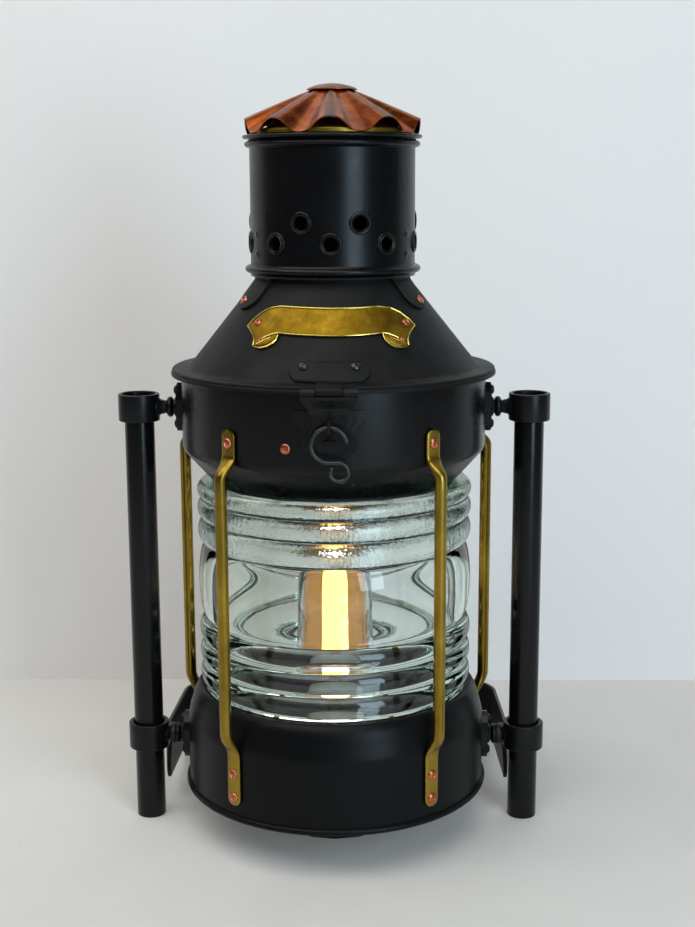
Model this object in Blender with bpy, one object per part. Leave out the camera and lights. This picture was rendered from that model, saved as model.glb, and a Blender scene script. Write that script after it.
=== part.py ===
# Ship's anchor light: sheet-steel case, pressed glass drum lens, brass guard rods, hinged lid
# with chimney and fluted copper cap, two guide tubes held in eye bolts, and a folding bail.
# Units are metres, +Z is up, the floor is z = 0 and the front of the light faces -Y.

import math

import bmesh
import bpy
from mathutils import Matrix, Vector

# Fits and fineness
FIT = 0.0003
RUN = 0.0005
OVERRUN = 0.002
MERGE = 0.000003
SHEET = 0.0012
SEGMENTS = 32
ROUND_SEGMENTS = 16
SMALL_SEGMENTS = 8
ARC_STEPS = 3
BARREL_STEPS = 5
SHARP_ANGLE = 35.0

# Base drum
FLOOR_GAP = 0.0336
BASE_RADIUS = 0.1118
BASE_BEAD = 0.0024
BASE_WALL = 0.0500
SHOULDER_IN = 0.0115
SHOULDER_RISE = 0.0255
SHOULDER_START = 42.0
SEAT_DEPTH = 0.0065
SEAT_WIDTH = 0.0135
FOOT_RADIUS = 0.0460
FOOT_BORE = 0.0200
FOOT_FLOOR = 0.0040

# Lens and its seals
SEAL = 0.0015
SEAL_WIDTH = 0.0030
LENS_PLAY = 0.0012
LENS_RADIUS = 0.1014
LENS_VALLEY = 0.0955
LENS_BORE = 0.0860
RIB_PITCH = 0.0165
BARREL_HEIGHT = 0.0570
lower_rib_shares = (1.01, 1.02, 1.09)
upper_rib_shares = (1.10, 0.92, 0.73)

# Upper drum
DRUM_RADIUS = 0.1110
DRUM_LOW_RADIUS = 0.0905
DRUM_TAPER = 0.0231
DRUM_HEIGHT = 0.0800
DRUM_LEDGE = 0.0055

# Guard rods
ROD_RADIUS = 0.0042
ROD_STANDOFF = 0.0092
TAB_WIDTH = 0.0115
TAB_THICKNESS = 0.0024
LOWER_TAB = 0.0345
UPPER_TAB = 0.0180
LOWER_TAB_DROP = 0.0030
UPPER_TAB_RISE = 0.0070
ROD_LOW_BEND = 0.0200
ROD_HIGH_BEND = 0.0150
rod_bend_shares = (0.0, 0.3, 0.6, 1.0)
FRONT_ROD_ANGLE = 38.0
SIDE_ROD_ANGLE = 108.0

# Guide tubes and the eye bolts that hold them
TUBE_RADIUS = 0.0109
TUBE_WALL = 0.0016
EYE_REACH = 0.0317
RING_RADIUS = 0.0152
RING_BORE = 0.0124
RING_HEIGHT = 0.0200
RING_MOUTH = 0.0060
UPPER_EYE_DROP = 0.0294
LOWER_EYE_RISE = 0.0295
NECK_RADIUS = 0.0052
BEAD_RADIUS = 0.0074
BEAD_LENGTH = 0.0060
SHANK_RADIUS = 0.0045
SHANK_PAST_NUT = 0.0015
NUT_RADIUS = 0.0090
NUT_THICKNESS = 0.0060
EYE_PLATE_HEIGHT = 0.0360
EYE_PLATE_WIDTH = 0.0230
EYE_PLATE_THICKNESS = 0.0040

# Bail
BAIL_WIDTH = 0.0450
BAIL_THICKNESS = 0.0036
BAIL_REACH = 0.1900
BAIL_CORNER = 0.0500
BAIL_EDGE_DROP = 0.0010
BAIL_EYE_RADIUS = 0.0080
BAIL_FLARE = 0.0091
bail_eye_angles = (75, 40, 0)
bail_arm_places = (0.0130, 0.0190, 0.0245, 0.0290, 0.0350)
bail_flare_shares = (0.05, 0.30, 0.62, 0.85, 1.0)
bail_spread_shares = (0.0, 0.0, 0.22, 0.68, 1.0)

# Lid: skirt, cone and collar
SKIRT_OVERHANG = 0.0070
SKIRT_ROUND = 0.0030
LIP_DROP = 0.0049
BRIM_WIDTH = 0.0125
CONE_TUCK = 0.0038
CONE_RISE = 0.0629
COLLAR_TUCK = 0.0045
COLLAR_HEIGHT = 0.0090

# Chimney
CHIMNEY_RADIUS = 0.0590
CHIMNEY_HEIGHT = 0.0985
CHIMNEY_GAP = 0.0024
CHIMNEY_BEAD_RISE = 0.0052
CHIMNEY_BEAD = 0.0041
CHIMNEY_BEAD_HALF = 0.0030
TOP_BEAD_DROP = 0.0062
TOP_BEAD = 0.0036
TOP_BEAD_HALF = 0.0026
TOP_FLANGE = 0.0048
TOP_FLANGE_THICKNESS = 0.0022
VENT_RADIUS = 0.0055
VENT_SEGMENTS = 8
VENT_ROW_RISE = 0.0240
VENT_ROW_STEP = 0.0143
lower_vent_angles = (0, 40, 80, 120, 160, 200, 240, 280, 320)
upper_vent_angles = (20, 100, 140, 220, 260, 340)

# Straps that carry the chimney
STRAP_WIDTH = 0.0260
STRAP_COLUMNS = 4
STRAP_THICKNESS = 0.0018
STRAP_IN_CHIMNEY = 0.0300
STRAP_ON_CONE = 0.0150
STRAP_END = 0.0105
strap_angles = (62, 180, 298)
strap_end_angles = (30, 60, 78)

# Cap
DISH_INSET = 0.0055
DISH_DEPTH = 0.0035
DISH_GAP = 0.0012
SPIDER_DROP = 0.0180
SPIDER_WIDTH = 0.0120
SPIDER_THICKNESS = 0.0020
SPIDER_FOOT = 0.0090
POST_RADIUS = 0.0040
CAP_OVERHANG = 0.0030
CAP_RISE = 0.0235
CAP_RIM_RISE = 0.0070
CAP_SHEET = 0.0010
CAP_FLUTES = 9
FLUTE_STEPS = 6
CAP_FLUTE_HALF = 0.0040
CAP_FLAT_RADIUS = 0.0165
BUTTON_RADIUS = 0.0175
BUTTON_HEIGHT = 0.0045

# Scroll plate on the cone
SCROLL_HALF = 0.0630
SCROLL_HEIGHT = 0.0225
SCROLL_RISE = 0.0368
SCROLL_THICKNESS = 0.0012
scroll_low_shares = ((-0.86, -0.44), (-0.76, -0.42), (-0.62, -0.22), (-0.57, 0.06), (-0.30, 0.02), (0.0, 0.0))
scroll_high_shares = ((-1.0, 0.26), (-0.89, 0.56), (-0.72, 0.86), (-0.56, 1.02), (-0.30, 1.0), (0.0, 0.97))

# Hinges
KNUCKLE_RADIUS = 0.0029
PIN_RADIUS = 0.0013
LEAF_THICKNESS = 0.0015
LEAF_RISE = 0.0170
LEAF_HALF = 0.0275
LEAF_CLIP = 0.0055
LEAF_SKIN = 0.0001
LEAF_OVERLAP = 0.0060
REAR_LEAF_HALF = 0.0210
REAR_LEAF_DROP = 0.0100
REAR_LEAF_HEIGHT = 0.0160
KNUCKLE_HALF = 0.0090
KNUCKLE_END = 0.0190
KNUCKLE_GAP = 0.0005

# Hasp with its lug, keeper plate and hook
HASP_HALF = 0.0190
HASP_WAIST = 0.0108
HASP_FOOT_HALF = 0.0178
HASP_LENGTH = 0.0415
hasp_shares = ((0.0, 0.0), (0.06, 0.15), (0.22, 0.85), (0.34, 1.0), (0.50, 1.0), (0.66, 1.0), (0.74, 1.0),
               (1.0, 1.0))
hasp_widths = (HASP_HALF, HASP_HALF, (HASP_HALF + HASP_WAIST) / 2, (HASP_HALF + 3 * HASP_WAIST) / 4, HASP_WAIST,
               (HASP_FOOT_HALF + HASP_WAIST) / 2, HASP_FOOT_HALF, HASP_FOOT_HALF)
KEEPER_THICKNESS = 0.0012
KEEPER_HALF = 0.0245
KEEPER_DROP = 0.0150
KEEPER_HEIGHT = 0.0400
keeper_shares = ((0.0, 0.78), (0.12, 0.80), (0.40, 0.67), (0.60, 0.67), (0.85, 1.0), (1.0, 0.96))
LUG_THICKNESS = 0.0026
LUG_REACH = 0.0105
LUG_HEIGHT = 0.0165
LUG_DROP = 0.0185
LUG_HOLE = 0.0024
LUG_HOLE_REACH = 0.0068
LUG_HOLE_DROP = 0.0045
LUG_SHANK = 0.0110
WIRE_RADIUS = 0.0013
HOOK_LOOP = 0.0118
HOOK_TAIL = 0.0065
HOOK_LINK = 0.0064
HOOK_MOUTH_ANGLE = 12.0
HOOK_TAIL_TURN = 300.0
HOOK_STEPS = 11

# Lamp inside
STEM_RADIUS = 0.0065
STEM_BORE = 0.0040
STEM_HEIGHT = 0.0480
HOLDER_RADIUS = 0.0205
HOLDER_HEIGHT = 0.0420
GALLERY_RADIUS = 0.0310
GALLERY_THICKNESS = 0.0015
GALLERY_RIM = 0.0040
GLASS_RADIUS = 0.0280
GLASS_FLARE = 0.0012
GLASS_WALL = 0.0018
GLASS_HEIGHT = 0.0664
JAR_CAP_RADIUS = 0.0295
JAR_CAP_THICKNESS = 0.0040
CAP_SCREW_RADIUS = 0.0133
CAP_SCREW_HEIGHT = 0.0260
GLOBE_RADIUS = 0.0245
GLOBE_WALL = 0.0012
GLOBE_HEIGHT = 0.0550
GLOBE_ROUND = 0.0125
TUBE_LAMP_RADIUS = 0.0098
TUBE_LAMP_HEIGHT = 0.0660
TUBE_LAMP_ROUND = 0.0025
GLAND_RADIUS = 0.0085
GLAND_THREAD = 0.0060
GLAND_BORE = 0.0035
GLAND_LENGTH = 0.0120
GLAND_HEIGHT = 0.0170

# Heights and radii that follow from the sizes above
widest_wall = max(BASE_RADIUS, DRUM_RADIUS)
tube_offset = widest_wall + EYE_REACH
rod_circle = widest_wall + ROD_STANDOFF
skirt_radius = DRUM_RADIUS + SKIRT_OVERHANG
cone_low_radius = skirt_radius - BRIM_WIDTH
cone_top_radius = CHIMNEY_RADIUS - CONE_TUCK
collar_radius = CHIMNEY_RADIUS - COLLAR_TUCK
dish_radius = CHIMNEY_RADIUS - DISH_INSET
cap_radius = CHIMNEY_RADIUS + CAP_OVERHANG
base_z = FLOOR_GAP + BASE_BEAD
wall_top = base_z + BASE_WALL
base_top = wall_top + SHOULDER_RISE
mouth_radius = BASE_RADIUS - SHOULDER_IN
seat_z = base_top - SEAT_DEPTH
plate_z = base_z + BASE_BEAD + FIT
lens_z = seat_z + SEAL + 2 * FIT
ribs_z = base_top + LENS_PLAY
barrel_z = ribs_z + RIB_PITCH * sum(lower_rib_shares)
lens_top = barrel_z + BARREL_HEIGHT + RIB_PITCH * sum(upper_rib_shares)
drum_z = lens_top + SEAL + 2 * FIT
crease_z = drum_z + DRUM_TAPER
drum_top = drum_z + DRUM_HEIGHT
brim_z = drum_top + FIT + SHEET
lip_z = brim_z - LIP_DROP
cone_top = brim_z + CONE_RISE
chimney_z = cone_top + CHIMNEY_GAP
chimney_top = chimney_z + CHIMNEY_HEIGHT
upper_eye_z = drum_top - UPPER_EYE_DROP
lower_eye_z = base_z + LOWER_EYE_RISE
rear_axis = Vector((0, skirt_radius + FIT + KNUCKLE_RADIUS, lip_z - FIT))
hasp_axis = Vector((0, -skirt_radius - FIT - KNUCKLE_RADIUS, brim_z - KNUCKLE_RADIUS + FIT))
bail_axis = Vector((0, 0, lower_eye_z))

# A round wall's facets lie this much nearer its axis than its corners
flat_share = math.cos(math.pi / SEGMENTS)

# Unit outlines of the swept sections
eighth = math.tan(math.pi / 8)
OCTAGON = ((1, eighth), (eighth, 1), (-eighth, 1), (-1, eighth),
           (-1, -eighth), (-eighth, -1), (eighth, -1), (1, -eighth))
SQUARE = ((1, 1), (-1, 1), (-1, -1), (1, -1))

for old in list(bpy.data.objects):
    bpy.data.objects.remove(old, do_unlink=True)


def material(name, colour, roughness, metallic=0.0, transmission=0.0, glow=0.0):
    made = bpy.data.materials.new(name)
    made.use_nodes = True
    shader = made.node_tree.nodes["Principled BSDF"]
    shader.inputs["Base Color"].default_value = (*colour, 1)
    shader.inputs["Roughness"].default_value = roughness
    shader.inputs["Metallic"].default_value = metallic
    shader.inputs["Transmission Weight"].default_value = transmission
    shader.inputs["Emission Color"].default_value = (*colour, 1)
    shader.inputs["Emission Strength"].default_value = glow
    return made


FINISHES = {
    "black_paint": ((0.012, 0.013, 0.015), 0.35, 0.0),
    "black_iron": ((0.018, 0.018, 0.020), 0.40, 0.2),
    "brass": ((0.55, 0.38, 0.08), 0.30, 1.0),
    "dark_brass": ((0.28, 0.22, 0.06), 0.40, 1.0),
    "copper": ((0.62, 0.20, 0.08), 0.28, 1.0),
    "steel": ((0.45, 0.45, 0.46), 0.35, 1.0),
    "rubber": ((0.03, 0.03, 0.03), 0.80, 0.0),
    "porcelain": ((0.75, 0.73, 0.68), 0.40, 0.0),
    "lens_glass": ((0.80, 0.92, 0.86), 0.05, 0.0, 1.0),
    "clear_glass": ((0.95, 0.96, 0.95), 0.03, 0.0, 1.0),
    "amber_glass": ((0.90, 0.60, 0.20), 0.05, 0.0, 1.0),
    "hot_wire": ((1.0, 0.70, 0.30), 0.50, 0.0, 0.0, 8.0),
}


def finish_object(name, mesh_builder, finish, parent=None):
    """Turn a bmesh in world coordinates into a named, shaded object on its axis."""
    bmesh.ops.recalc_face_normals(mesh_builder, faces=mesh_builder.faces)
    if mesh_builder.calc_volume(signed=True) < 0:
        bmesh.ops.reverse_faces(mesh_builder, faces=mesh_builder.faces)
    origin = Vector(parent["pivot"]) if parent else Vector((0, 0, 0))
    mesh_builder.transform(Matrix.Translation(-origin))
    mesh = bpy.data.meshes.new(name)
    mesh_builder.to_mesh(mesh)
    mesh_builder.free()
    mesh.shade_smooth()
    mesh.set_sharp_from_angle(angle=math.radians(SHARP_ANGLE))
    item = bpy.data.objects.new(name, mesh)
    bpy.context.collection.objects.link(item)
    item.parent = parent
    if finish:
        mesh.materials.append(material(name + "_finish", *FINISHES[finish]))
    else:
        item.hide_render = True
        item.display_type = "WIRE"
    return item


def axis_empty(name, pivot, parent=None):
    item = bpy.data.objects.new(name, None)
    bpy.context.collection.objects.link(item)
    item["pivot"] = tuple(pivot)
    item.parent = parent
    item.location = pivot - Vector(parent["pivot"]) if parent else pivot
    return item


def boolean(item, tool, operation="DIFFERENCE"):
    step = item.modifiers.new(operation.title(), "BOOLEAN")
    step.operation = operation
    step.solver = "EXACT"
    step.object = tool
    return item


def turned(name, outline, finish, parent=None, segments=SEGMENTS, place=Matrix.Identity(4)):
    """Spin a closed outline of (radius, height) points about the Z axis, then place it."""
    work = bmesh.new()
    points = [work.verts.new((radius, 0, height)) for radius, height in outline]
    edges = [work.edges.new((a, b)) for a, b in zip(points, points[1:] + points[:1])]
    bmesh.ops.spin(work, geom=points + edges, cent=(0, 0, 0), axis=(0, 0, 1),
                   angle=2 * math.pi, steps=segments, use_merge=True)
    bmesh.ops.remove_doubles(work, verts=work.verts, dist=MERGE)
    loose = [edge for edge in work.edges if not edge.link_faces]
    bmesh.ops.delete(work, geom=loose, context="EDGES")
    work.transform(place)
    return finish_object(name, work, finish, parent)


def swept(name, stations, finish, parent=None, section=OCTAGON):
    """Join sections along a path; a station is a centre and the section's two half axes."""
    work = bmesh.new()
    loops = []
    for centre, half_u, half_v in stations:
        loops.append([work.verts.new(centre + half_u * u + half_v * v) for u, v in section])
    for low, high in zip(loops, loops[1:]):
        for index in range(len(section)):
            after = (index + 1) % len(section)
            work.faces.new((low[index], low[after], high[after], high[index]))
    work.faces.new(loops[0])
    work.faces.new(loops[-1])
    return finish_object(name, work, finish, parent)


def arc(centre, radii, start, end, steps=ARC_STEPS):
    """Points of an elliptic arc, angles in degrees, both ends included."""
    points = []
    for step in range(steps + 1):
        angle = math.radians(start + (end - start) * step / steps)
        points.append((centre[0] + radii[0] * math.cos(angle), centre[1] + radii[1] * math.sin(angle)))
    return points


def sheet(path, thickness=SHEET):
    """Closed outline of a bent sheet: the path, and back along it moved to its left."""
    corners = [Vector(point) for point in path]
    inner = []
    for index, corner in enumerate(corners):
        before = corner - corners[index - 1] if index else corners[1] - corner
        after = corners[index + 1] - corner if index + 1 < len(corners) else before
        left = [Vector((-step.y, step.x)).normalized() for step in (before, after)]
        mitre = (left[0] + left[1]).normalized()
        inner.append(corner + mitre * (thickness / mitre.dot(left[0])))
    return [tuple(point) for point in corners + inner[::-1]]


def around(angle):
    """Outward and sideways unit vectors at an angle from the front, in degrees."""
    turn = math.radians(angle)
    return Vector((math.sin(turn), -math.cos(turn), 0)), Vector((math.cos(turn), math.sin(turn), 0))


def along_x(centre):
    """Place a turned piece with its axis along +X and its zero height at a centre."""
    return Matrix.Translation(centre) @ Matrix.Rotation(math.pi / 2, 4, "Y")


def rod(name, length, radius, centre, finish=None, parent=None, segments=SMALL_SEGMENTS, bore=0):
    """A round bar or tube along X, centred on a point."""
    half = length / 2
    if bore:
        outline = [(bore, -half), (radius, -half), (radius, half), (bore, half)]
    else:
        outline = [(0, -half), (radius, -half), (radius, half), (0, half)]
    return turned(name, outline, finish, parent, segments, along_x(centre))


def ring(inner, outer, low, high):
    return [(inner, low), (outer, low), (outer, high), (inner, high)]


def drum_point(radius):
    """Map of a plate bent round an upright wall: sideways length, height, lift off the wall."""
    def place(side, height, lift, angle):
        turn = math.radians(angle) + side / radius
        reach = radius + lift
        return Vector((reach * math.sin(turn), -reach * math.cos(turn), height))
    return place


cone_slope = Vector((cone_low_radius - cone_top_radius, CONE_RISE)).normalized()


def cone_point(side, slant, lift, angle):
    """Map of a plate bent on the cone: sideways length, length up the slope, lift off it.
    A slant below zero runs out along the flat brim instead."""
    if slant >= 0:
        reach = cone_low_radius - slant * cone_slope.x
        radius = reach + lift * cone_slope.y
        height = brim_z + slant * cone_slope.y + lift * cone_slope.x
    else:
        reach = cone_low_radius - slant
        radius = reach + lift * math.tan(math.asin(cone_slope.y) / 2)
        height = brim_z + lift
    turn = math.radians(angle) + side / reach
    return Vector((radius * math.sin(turn), -radius * math.cos(turn), height))


def bent_plate(name, rows, thickness, place, finish, parent=None, angle=0):
    """A plate of constant thickness on a curved surface; rows hold (side, along) points."""
    work = bmesh.new()
    layers = []
    for lift in (FIT, FIT + thickness):
        layers.append([[work.verts.new(place(side, along, lift, angle)) for side, along in row]
                       for row in rows])
    for layer in layers:
        for row, following in zip(layer, layer[1:]):
            for index in range(len(row) - 1):
                work.faces.new((row[index], row[index + 1], following[index + 1], following[index]))
    low, high = layers
    for row_low, row_high in ((low[0], high[0]), (low[-1], high[-1])):
        for index in range(len(row_low) - 1):
            work.faces.new((row_low[index], row_low[index + 1], row_high[index + 1], row_high[index]))
    for index in range(len(rows) - 1):
        for end in (0, -1):
            work.faces.new((low[index][end], low[index + 1][end], high[index + 1][end], high[index][end]))
    return finish_object(name, work, finish, parent)


def spread(low, high, steps):
    return [low + (high - low) * step / steps for step in range(steps + 1)]


# Base drum, plate and foot
def shoulder(inset):
    """The shoulder's profile: a soft crease at the wall's top, then round to the level mouth."""
    start = math.radians(SHOULDER_START)
    wide = (SHOULDER_IN - inset) / math.cos(start)
    tall = SHOULDER_RISE / (1 - math.sin(start))
    return arc((mouth_radius, base_top - inset - tall), (wide, tall), SHOULDER_START, 90)


def build_base():
    opening = math.degrees(math.acos(-SHEET / BASE_BEAD))
    outline = arc((BASE_RADIUS, base_z), (BASE_BEAD, BASE_BEAD), opening, 450, ARC_STEPS + 1)
    outline += shoulder(0)
    ledge = mouth_radius - SEAT_WIDTH
    outline += [(mouth_radius - SHEET, base_top), (mouth_radius - SHEET, seat_z),
                (ledge, seat_z), (ledge, seat_z - SHEET), (mouth_radius, seat_z - SHEET)]
    outline += shoulder(SHEET)[::-1]
    drum = turned("base_drum", outline, "black_paint")
    plate_radius = BASE_RADIUS - SHEET - FIT
    turned("base_plate", ring(STEM_BORE, plate_radius, plate_z, plate_z + SHEET), "black_paint")
    foot_top = plate_z - FIT
    outline = [(0, 0), (FOOT_RADIUS, 0), (FOOT_RADIUS, foot_top), (FOOT_BORE, foot_top), (FOOT_BORE, FOOT_FLOOR),
               (0, FOOT_FLOOR)]
    turned("base_foot", outline, "black_iron", segments=ROUND_SEGMENTS)
    gland_cut = turned("gland_cut", ring(0, GLAND_THREAD + FIT, -FOOT_RADIUS, OVERRUN), None,
                       segments=SMALL_SEGMENTS, place=gland_place())
    boolean(bpy.data.objects["base_foot"], gland_cut)
    return drum


def gland_place():
    seat = Vector((0, FOOT_RADIUS, GLAND_HEIGHT))
    return Matrix.Translation(seat) @ Matrix.Rotation(-math.pi / 2, 4, "X")


def build_gland():
    inside = FOOT_BORE - FOOT_RADIUS
    outline = [(GLAND_BORE, inside), (GLAND_THREAD, inside), (GLAND_THREAD, FIT), (GLAND_RADIUS, FIT),
               (GLAND_RADIUS, GLAND_LENGTH / 2), (GLAND_THREAD, GLAND_LENGTH), (GLAND_BORE, GLAND_LENGTH)]
    turned("cable_gland", outline, "rubber", segments=SMALL_SEGMENTS, place=gland_place())


# Lens and seals
def build_lens():
    foot_radius = mouth_radius - SHEET - LENS_PLAY
    outline = [(LENS_BORE, lens_z), (foot_radius, lens_z), (foot_radius, ribs_z)]
    low = ribs_z
    heights = [RIB_PITCH * share for share in lower_rib_shares] + [BARREL_HEIGHT]
    heights += [RIB_PITCH * share for share in upper_rib_shares]
    bulge = LENS_RADIUS - LENS_VALLEY
    for height in heights:
        steps = BARREL_STEPS if height == BARREL_HEIGHT else ARC_STEPS
        curve = arc((LENS_VALLEY, low + height / 2), (bulge, height / 2), -90, 90, steps)
        outline += curve if low == ribs_z else curve[1:]
        low += height
    outline += [(LENS_BORE, lens_top)]
    turned("lens", outline, "lens_glass")
    low_seal = mouth_radius - SHEET - LENS_PLAY
    turned("lens_seal_lower", ring(low_seal - SEAL_WIDTH, low_seal, seat_z + FIT, seat_z + FIT + SEAL),
           "rubber", segments=ROUND_SEGMENTS)
    turned("lens_seal_upper", ring(DRUM_LOW_RADIUS - SEAL_WIDTH, DRUM_LOW_RADIUS,
                                   lens_top + FIT, lens_top + FIT + SEAL), "rubber",
           segments=ROUND_SEGMENTS)


# Upper drum
def build_upper_drum():
    path = [(DRUM_LOW_RADIUS - DRUM_LEDGE, drum_z), (DRUM_LOW_RADIUS, drum_z),
            (DRUM_RADIUS, crease_z), (DRUM_RADIUS, drum_top)]
    return turned("upper_drum", sheet(path), "black_paint")


# Guard rods
def build_guard_rods():
    low_reach = BASE_RADIUS + FIT + TAB_THICKNESS / 2
    high_reach = DRUM_RADIUS + FIT + TAB_THICKNESS / 2
    low_tab_top = wall_top - LOWER_TAB_DROP
    high_tab_low = crease_z + UPPER_TAB_RISE
    path = [(low_reach, low_tab_top - LOWER_TAB, 1), (low_reach, low_tab_top, 1)]
    for share in rod_bend_shares[1:]:
        ease = share * share * (3 - 2 * share)
        path.append((low_reach + (rod_circle - low_reach) * ease, low_tab_top + ROD_LOW_BEND * share, 1 - ease))
    for share in rod_bend_shares[:-1]:
        ease = 1 - share * share * (3 - 2 * share)
        path.append((high_reach + (rod_circle - high_reach) * ease,
                     high_tab_low - ROD_HIGH_BEND * (1 - share), 1 - ease))
    path += [(high_reach, high_tab_low, 1), (high_reach, high_tab_low + UPPER_TAB, 1)]
    angles = (-FRONT_ROD_ANGLE, FRONT_ROD_ANGLE, SIDE_ROD_ANGLE, 180.0, -SIDE_ROD_ANGLE)
    for number, angle in enumerate(angles, 1):
        out, side = around(angle)
        centres = [out * reach + Vector((0, 0, height)) for reach, height, flat in path]
        stations = []
        for index, (reach, height, flat) in enumerate(path):
            ahead = centres[min(index + 1, len(path) - 1)] - centres[max(index - 1, 0)]
            across = side.cross(ahead).normalized()
            half_width = ROD_RADIUS + (TAB_WIDTH / 2 - ROD_RADIUS) * flat
            half_depth = ROD_RADIUS + (TAB_THICKNESS / 2 - ROD_RADIUS) * flat
            stations.append((centres[index], side * half_width, across * half_depth))
        swept("guard_rod_%d" % number, stations, "brass")


# Eye bolts, their plates and nuts, and the guide tubes
def build_eyes(drums):
    levels = (("upper", upper_eye_z, DRUM_RADIUS), ("lower", lower_eye_z, BASE_RADIUS))
    for level, height, wall in levels:
        wall_cut = turned("wall_cut_" + level,
                          ring(0, wall + FIT, height - EYE_PLATE_HEIGHT, height + EYE_PLATE_HEIGHT), None)
        shank_cut = rod("shank_cut_" + level, 2 * tube_offset, SHANK_RADIUS + FIT, (0, 0, height))
        boolean(drums[level], shank_cut)
        for hand, sign in (("left", -1), ("right", 1)):
            build_eye(level + "_" + hand, sign, height, wall, wall_cut, shank_cut)
    for hand, sign in (("left", -1), ("right", 1)):
        top = upper_eye_z + RING_HEIGHT / 2 - RING_MOUTH
        turned("guide_tube_" + hand, ring(TUBE_RADIUS - TUBE_WALL, TUBE_RADIUS, 0, top), "black_paint",
               segments=ROUND_SEGMENTS, place=Matrix.Translation((sign * tube_offset, 0, 0)))


def build_eye(label, sign, height, wall, wall_cut, shank_cut):
    half_width = EYE_PLATE_WIDTH / 2
    straight = EYE_PLATE_HEIGHT / 2 - half_width
    outline = arc((0, straight), (half_width, half_width), 0, 180, 2 * ARC_STEPS)
    outline += arc((0, -straight), (half_width, half_width), 180, 360, 2 * ARC_STEPS)
    face = wall + EYE_PLATE_THICKNESS
    work = bmesh.new()
    back = [work.verts.new((sign * (wall - EYE_PLATE_THICKNESS), y, height + z)) for y, z in outline]
    front = [work.verts.new((sign * face, y, height + z)) for y, z in outline]
    work.faces.new(back)
    work.faces.new(front)
    for index in range(len(outline)):
        after = (index + 1) % len(outline)
        work.faces.new((back[index], back[after], front[after], front[index]))
    plate = finish_object("eye_plate_" + label, work, "black_iron")
    boolean(boolean(plate, wall_cut), shank_cut)

    inner_wall = wall - SHEET
    nut_seat = inner_wall - NUT_RADIUS * math.tan(math.pi / SEGMENTS) - FIT
    shank_end = nut_seat - NUT_THICKNESS - SHANK_PAST_NUT
    neck_end = tube_offset - (RING_RADIUS + RING_BORE) / 2
    bead_low = face + FIT
    bead_high = bead_low + BEAD_LENGTH
    outline = [(0, shank_end), (SHANK_RADIUS, shank_end), (SHANK_RADIUS, bead_low), (BEAD_RADIUS, bead_low),
               (BEAD_RADIUS, bead_high - BEAD_LENGTH / 4), (NECK_RADIUS, bead_high),
               (NECK_RADIUS, neck_end), (0, neck_end)]
    if sign > 0:
        place = along_x((0, 0, height))
    else:
        place = Matrix.Rotation(math.pi, 4, "Z") @ along_x((0, 0, height))
    shank = turned("eye_shank_" + label, outline, None, segments=SMALL_SEGMENTS, place=place)
    half = RING_HEIGHT / 2
    centre = Matrix.Translation((sign * tube_offset, 0, height))
    if label.startswith("upper"):
        outline = [(TUBE_RADIUS + FIT, -half), (RING_RADIUS, -half), (RING_RADIUS, half), (RING_BORE, half),
                   (RING_BORE, half - RING_MOUTH), (TUBE_RADIUS + FIT, half - RING_MOUTH)]
    else:
        outline = ring(RING_BORE, RING_RADIUS, -half, half)
    eye = turned("eye_bolt_" + label, outline, "black_iron", segments=ROUND_SEGMENTS, place=centre)
    boolean(eye, shank, "UNION")

    outline = ring(0, NUT_RADIUS, nut_seat - NUT_THICKNESS, nut_seat)
    nut = turned("eye_nut_" + label, outline, "steel", segments=6, place=place)
    boolean(nut, shank_cut)


# Bail: a strap standing on edge behind the light, with a small eye on each lower neck
def build_bail(parent):
    inner_face = BASE_RADIUS + EYE_PLATE_THICKNESS + FIT + BEAD_LENGTH + RUN
    arm = inner_face + BAIL_THICKNESS / 2
    low = BAIL_EDGE_DROP + BAIL_WIDTH
    reach = BAIL_REACH + BAIL_THICKNESS / 2
    drop = math.asin(lower_eye_z / math.hypot(reach, low)) - math.atan2(low, reach)
    back = Vector((0, math.cos(drop), -math.sin(drop)))
    up = Vector((0, math.sin(drop), math.cos(drop)))
    right = Vector((1, 0, 0))
    centre = Vector((0, 0, lower_eye_z))
    thin = BAIL_THICKNESS / 2

    stations = []
    for degrees in bail_eye_angles:
        angle = math.radians(degrees)
        along = back * (-BAIL_EYE_RADIUS * math.sin(angle))
        stations.append((centre + right * arm + along, right * thin, up * (BAIL_EYE_RADIUS * math.cos(angle))))
    edge = up * -BAIL_EDGE_DROP
    for place, flare, spread_share in zip(bail_arm_places, bail_flare_shares, bail_spread_shares):
        tongue = BAIL_EYE_RADIUS - BAIL_EDGE_DROP
        top = tongue / 2 * (1 - spread_share)
        bottom = -tongue / 2 + (tongue / 2 - BAIL_WIDTH) * spread_share
        point = centre + right * (arm + BAIL_FLARE * flare) + back * place + edge + up * ((top + bottom) / 2)
        stations.append((point, right * thin, up * ((top - bottom) / 2)))
    middle = edge - up * (BAIL_WIDTH / 2)
    corner = (arm + BAIL_FLARE - BAIL_CORNER, BAIL_REACH - BAIL_CORNER)
    for step in range(2 * ARC_STEPS + 1):
        angle = math.pi / 2 * step / (2 * ARC_STEPS)
        outward = right * math.cos(angle) + back * math.sin(angle)
        point = centre + middle + right * corner[0] + back * corner[1] + outward * BAIL_CORNER
        stations.append((point, outward * thin, up * (BAIL_WIDTH / 2)))
    mirror = Matrix.Scale(-1, 3, right)
    stations += [(mirror @ point, mirror @ across, tall) for point, across, tall in stations[::-1]]
    bail = swept("bail", stations, "black_paint", parent, SQUARE)
    boolean(bail, rod("bail_cut", 2 * tube_offset, NECK_RADIUS + RUN, centre, segments=ROUND_SEGMENTS))


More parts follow.
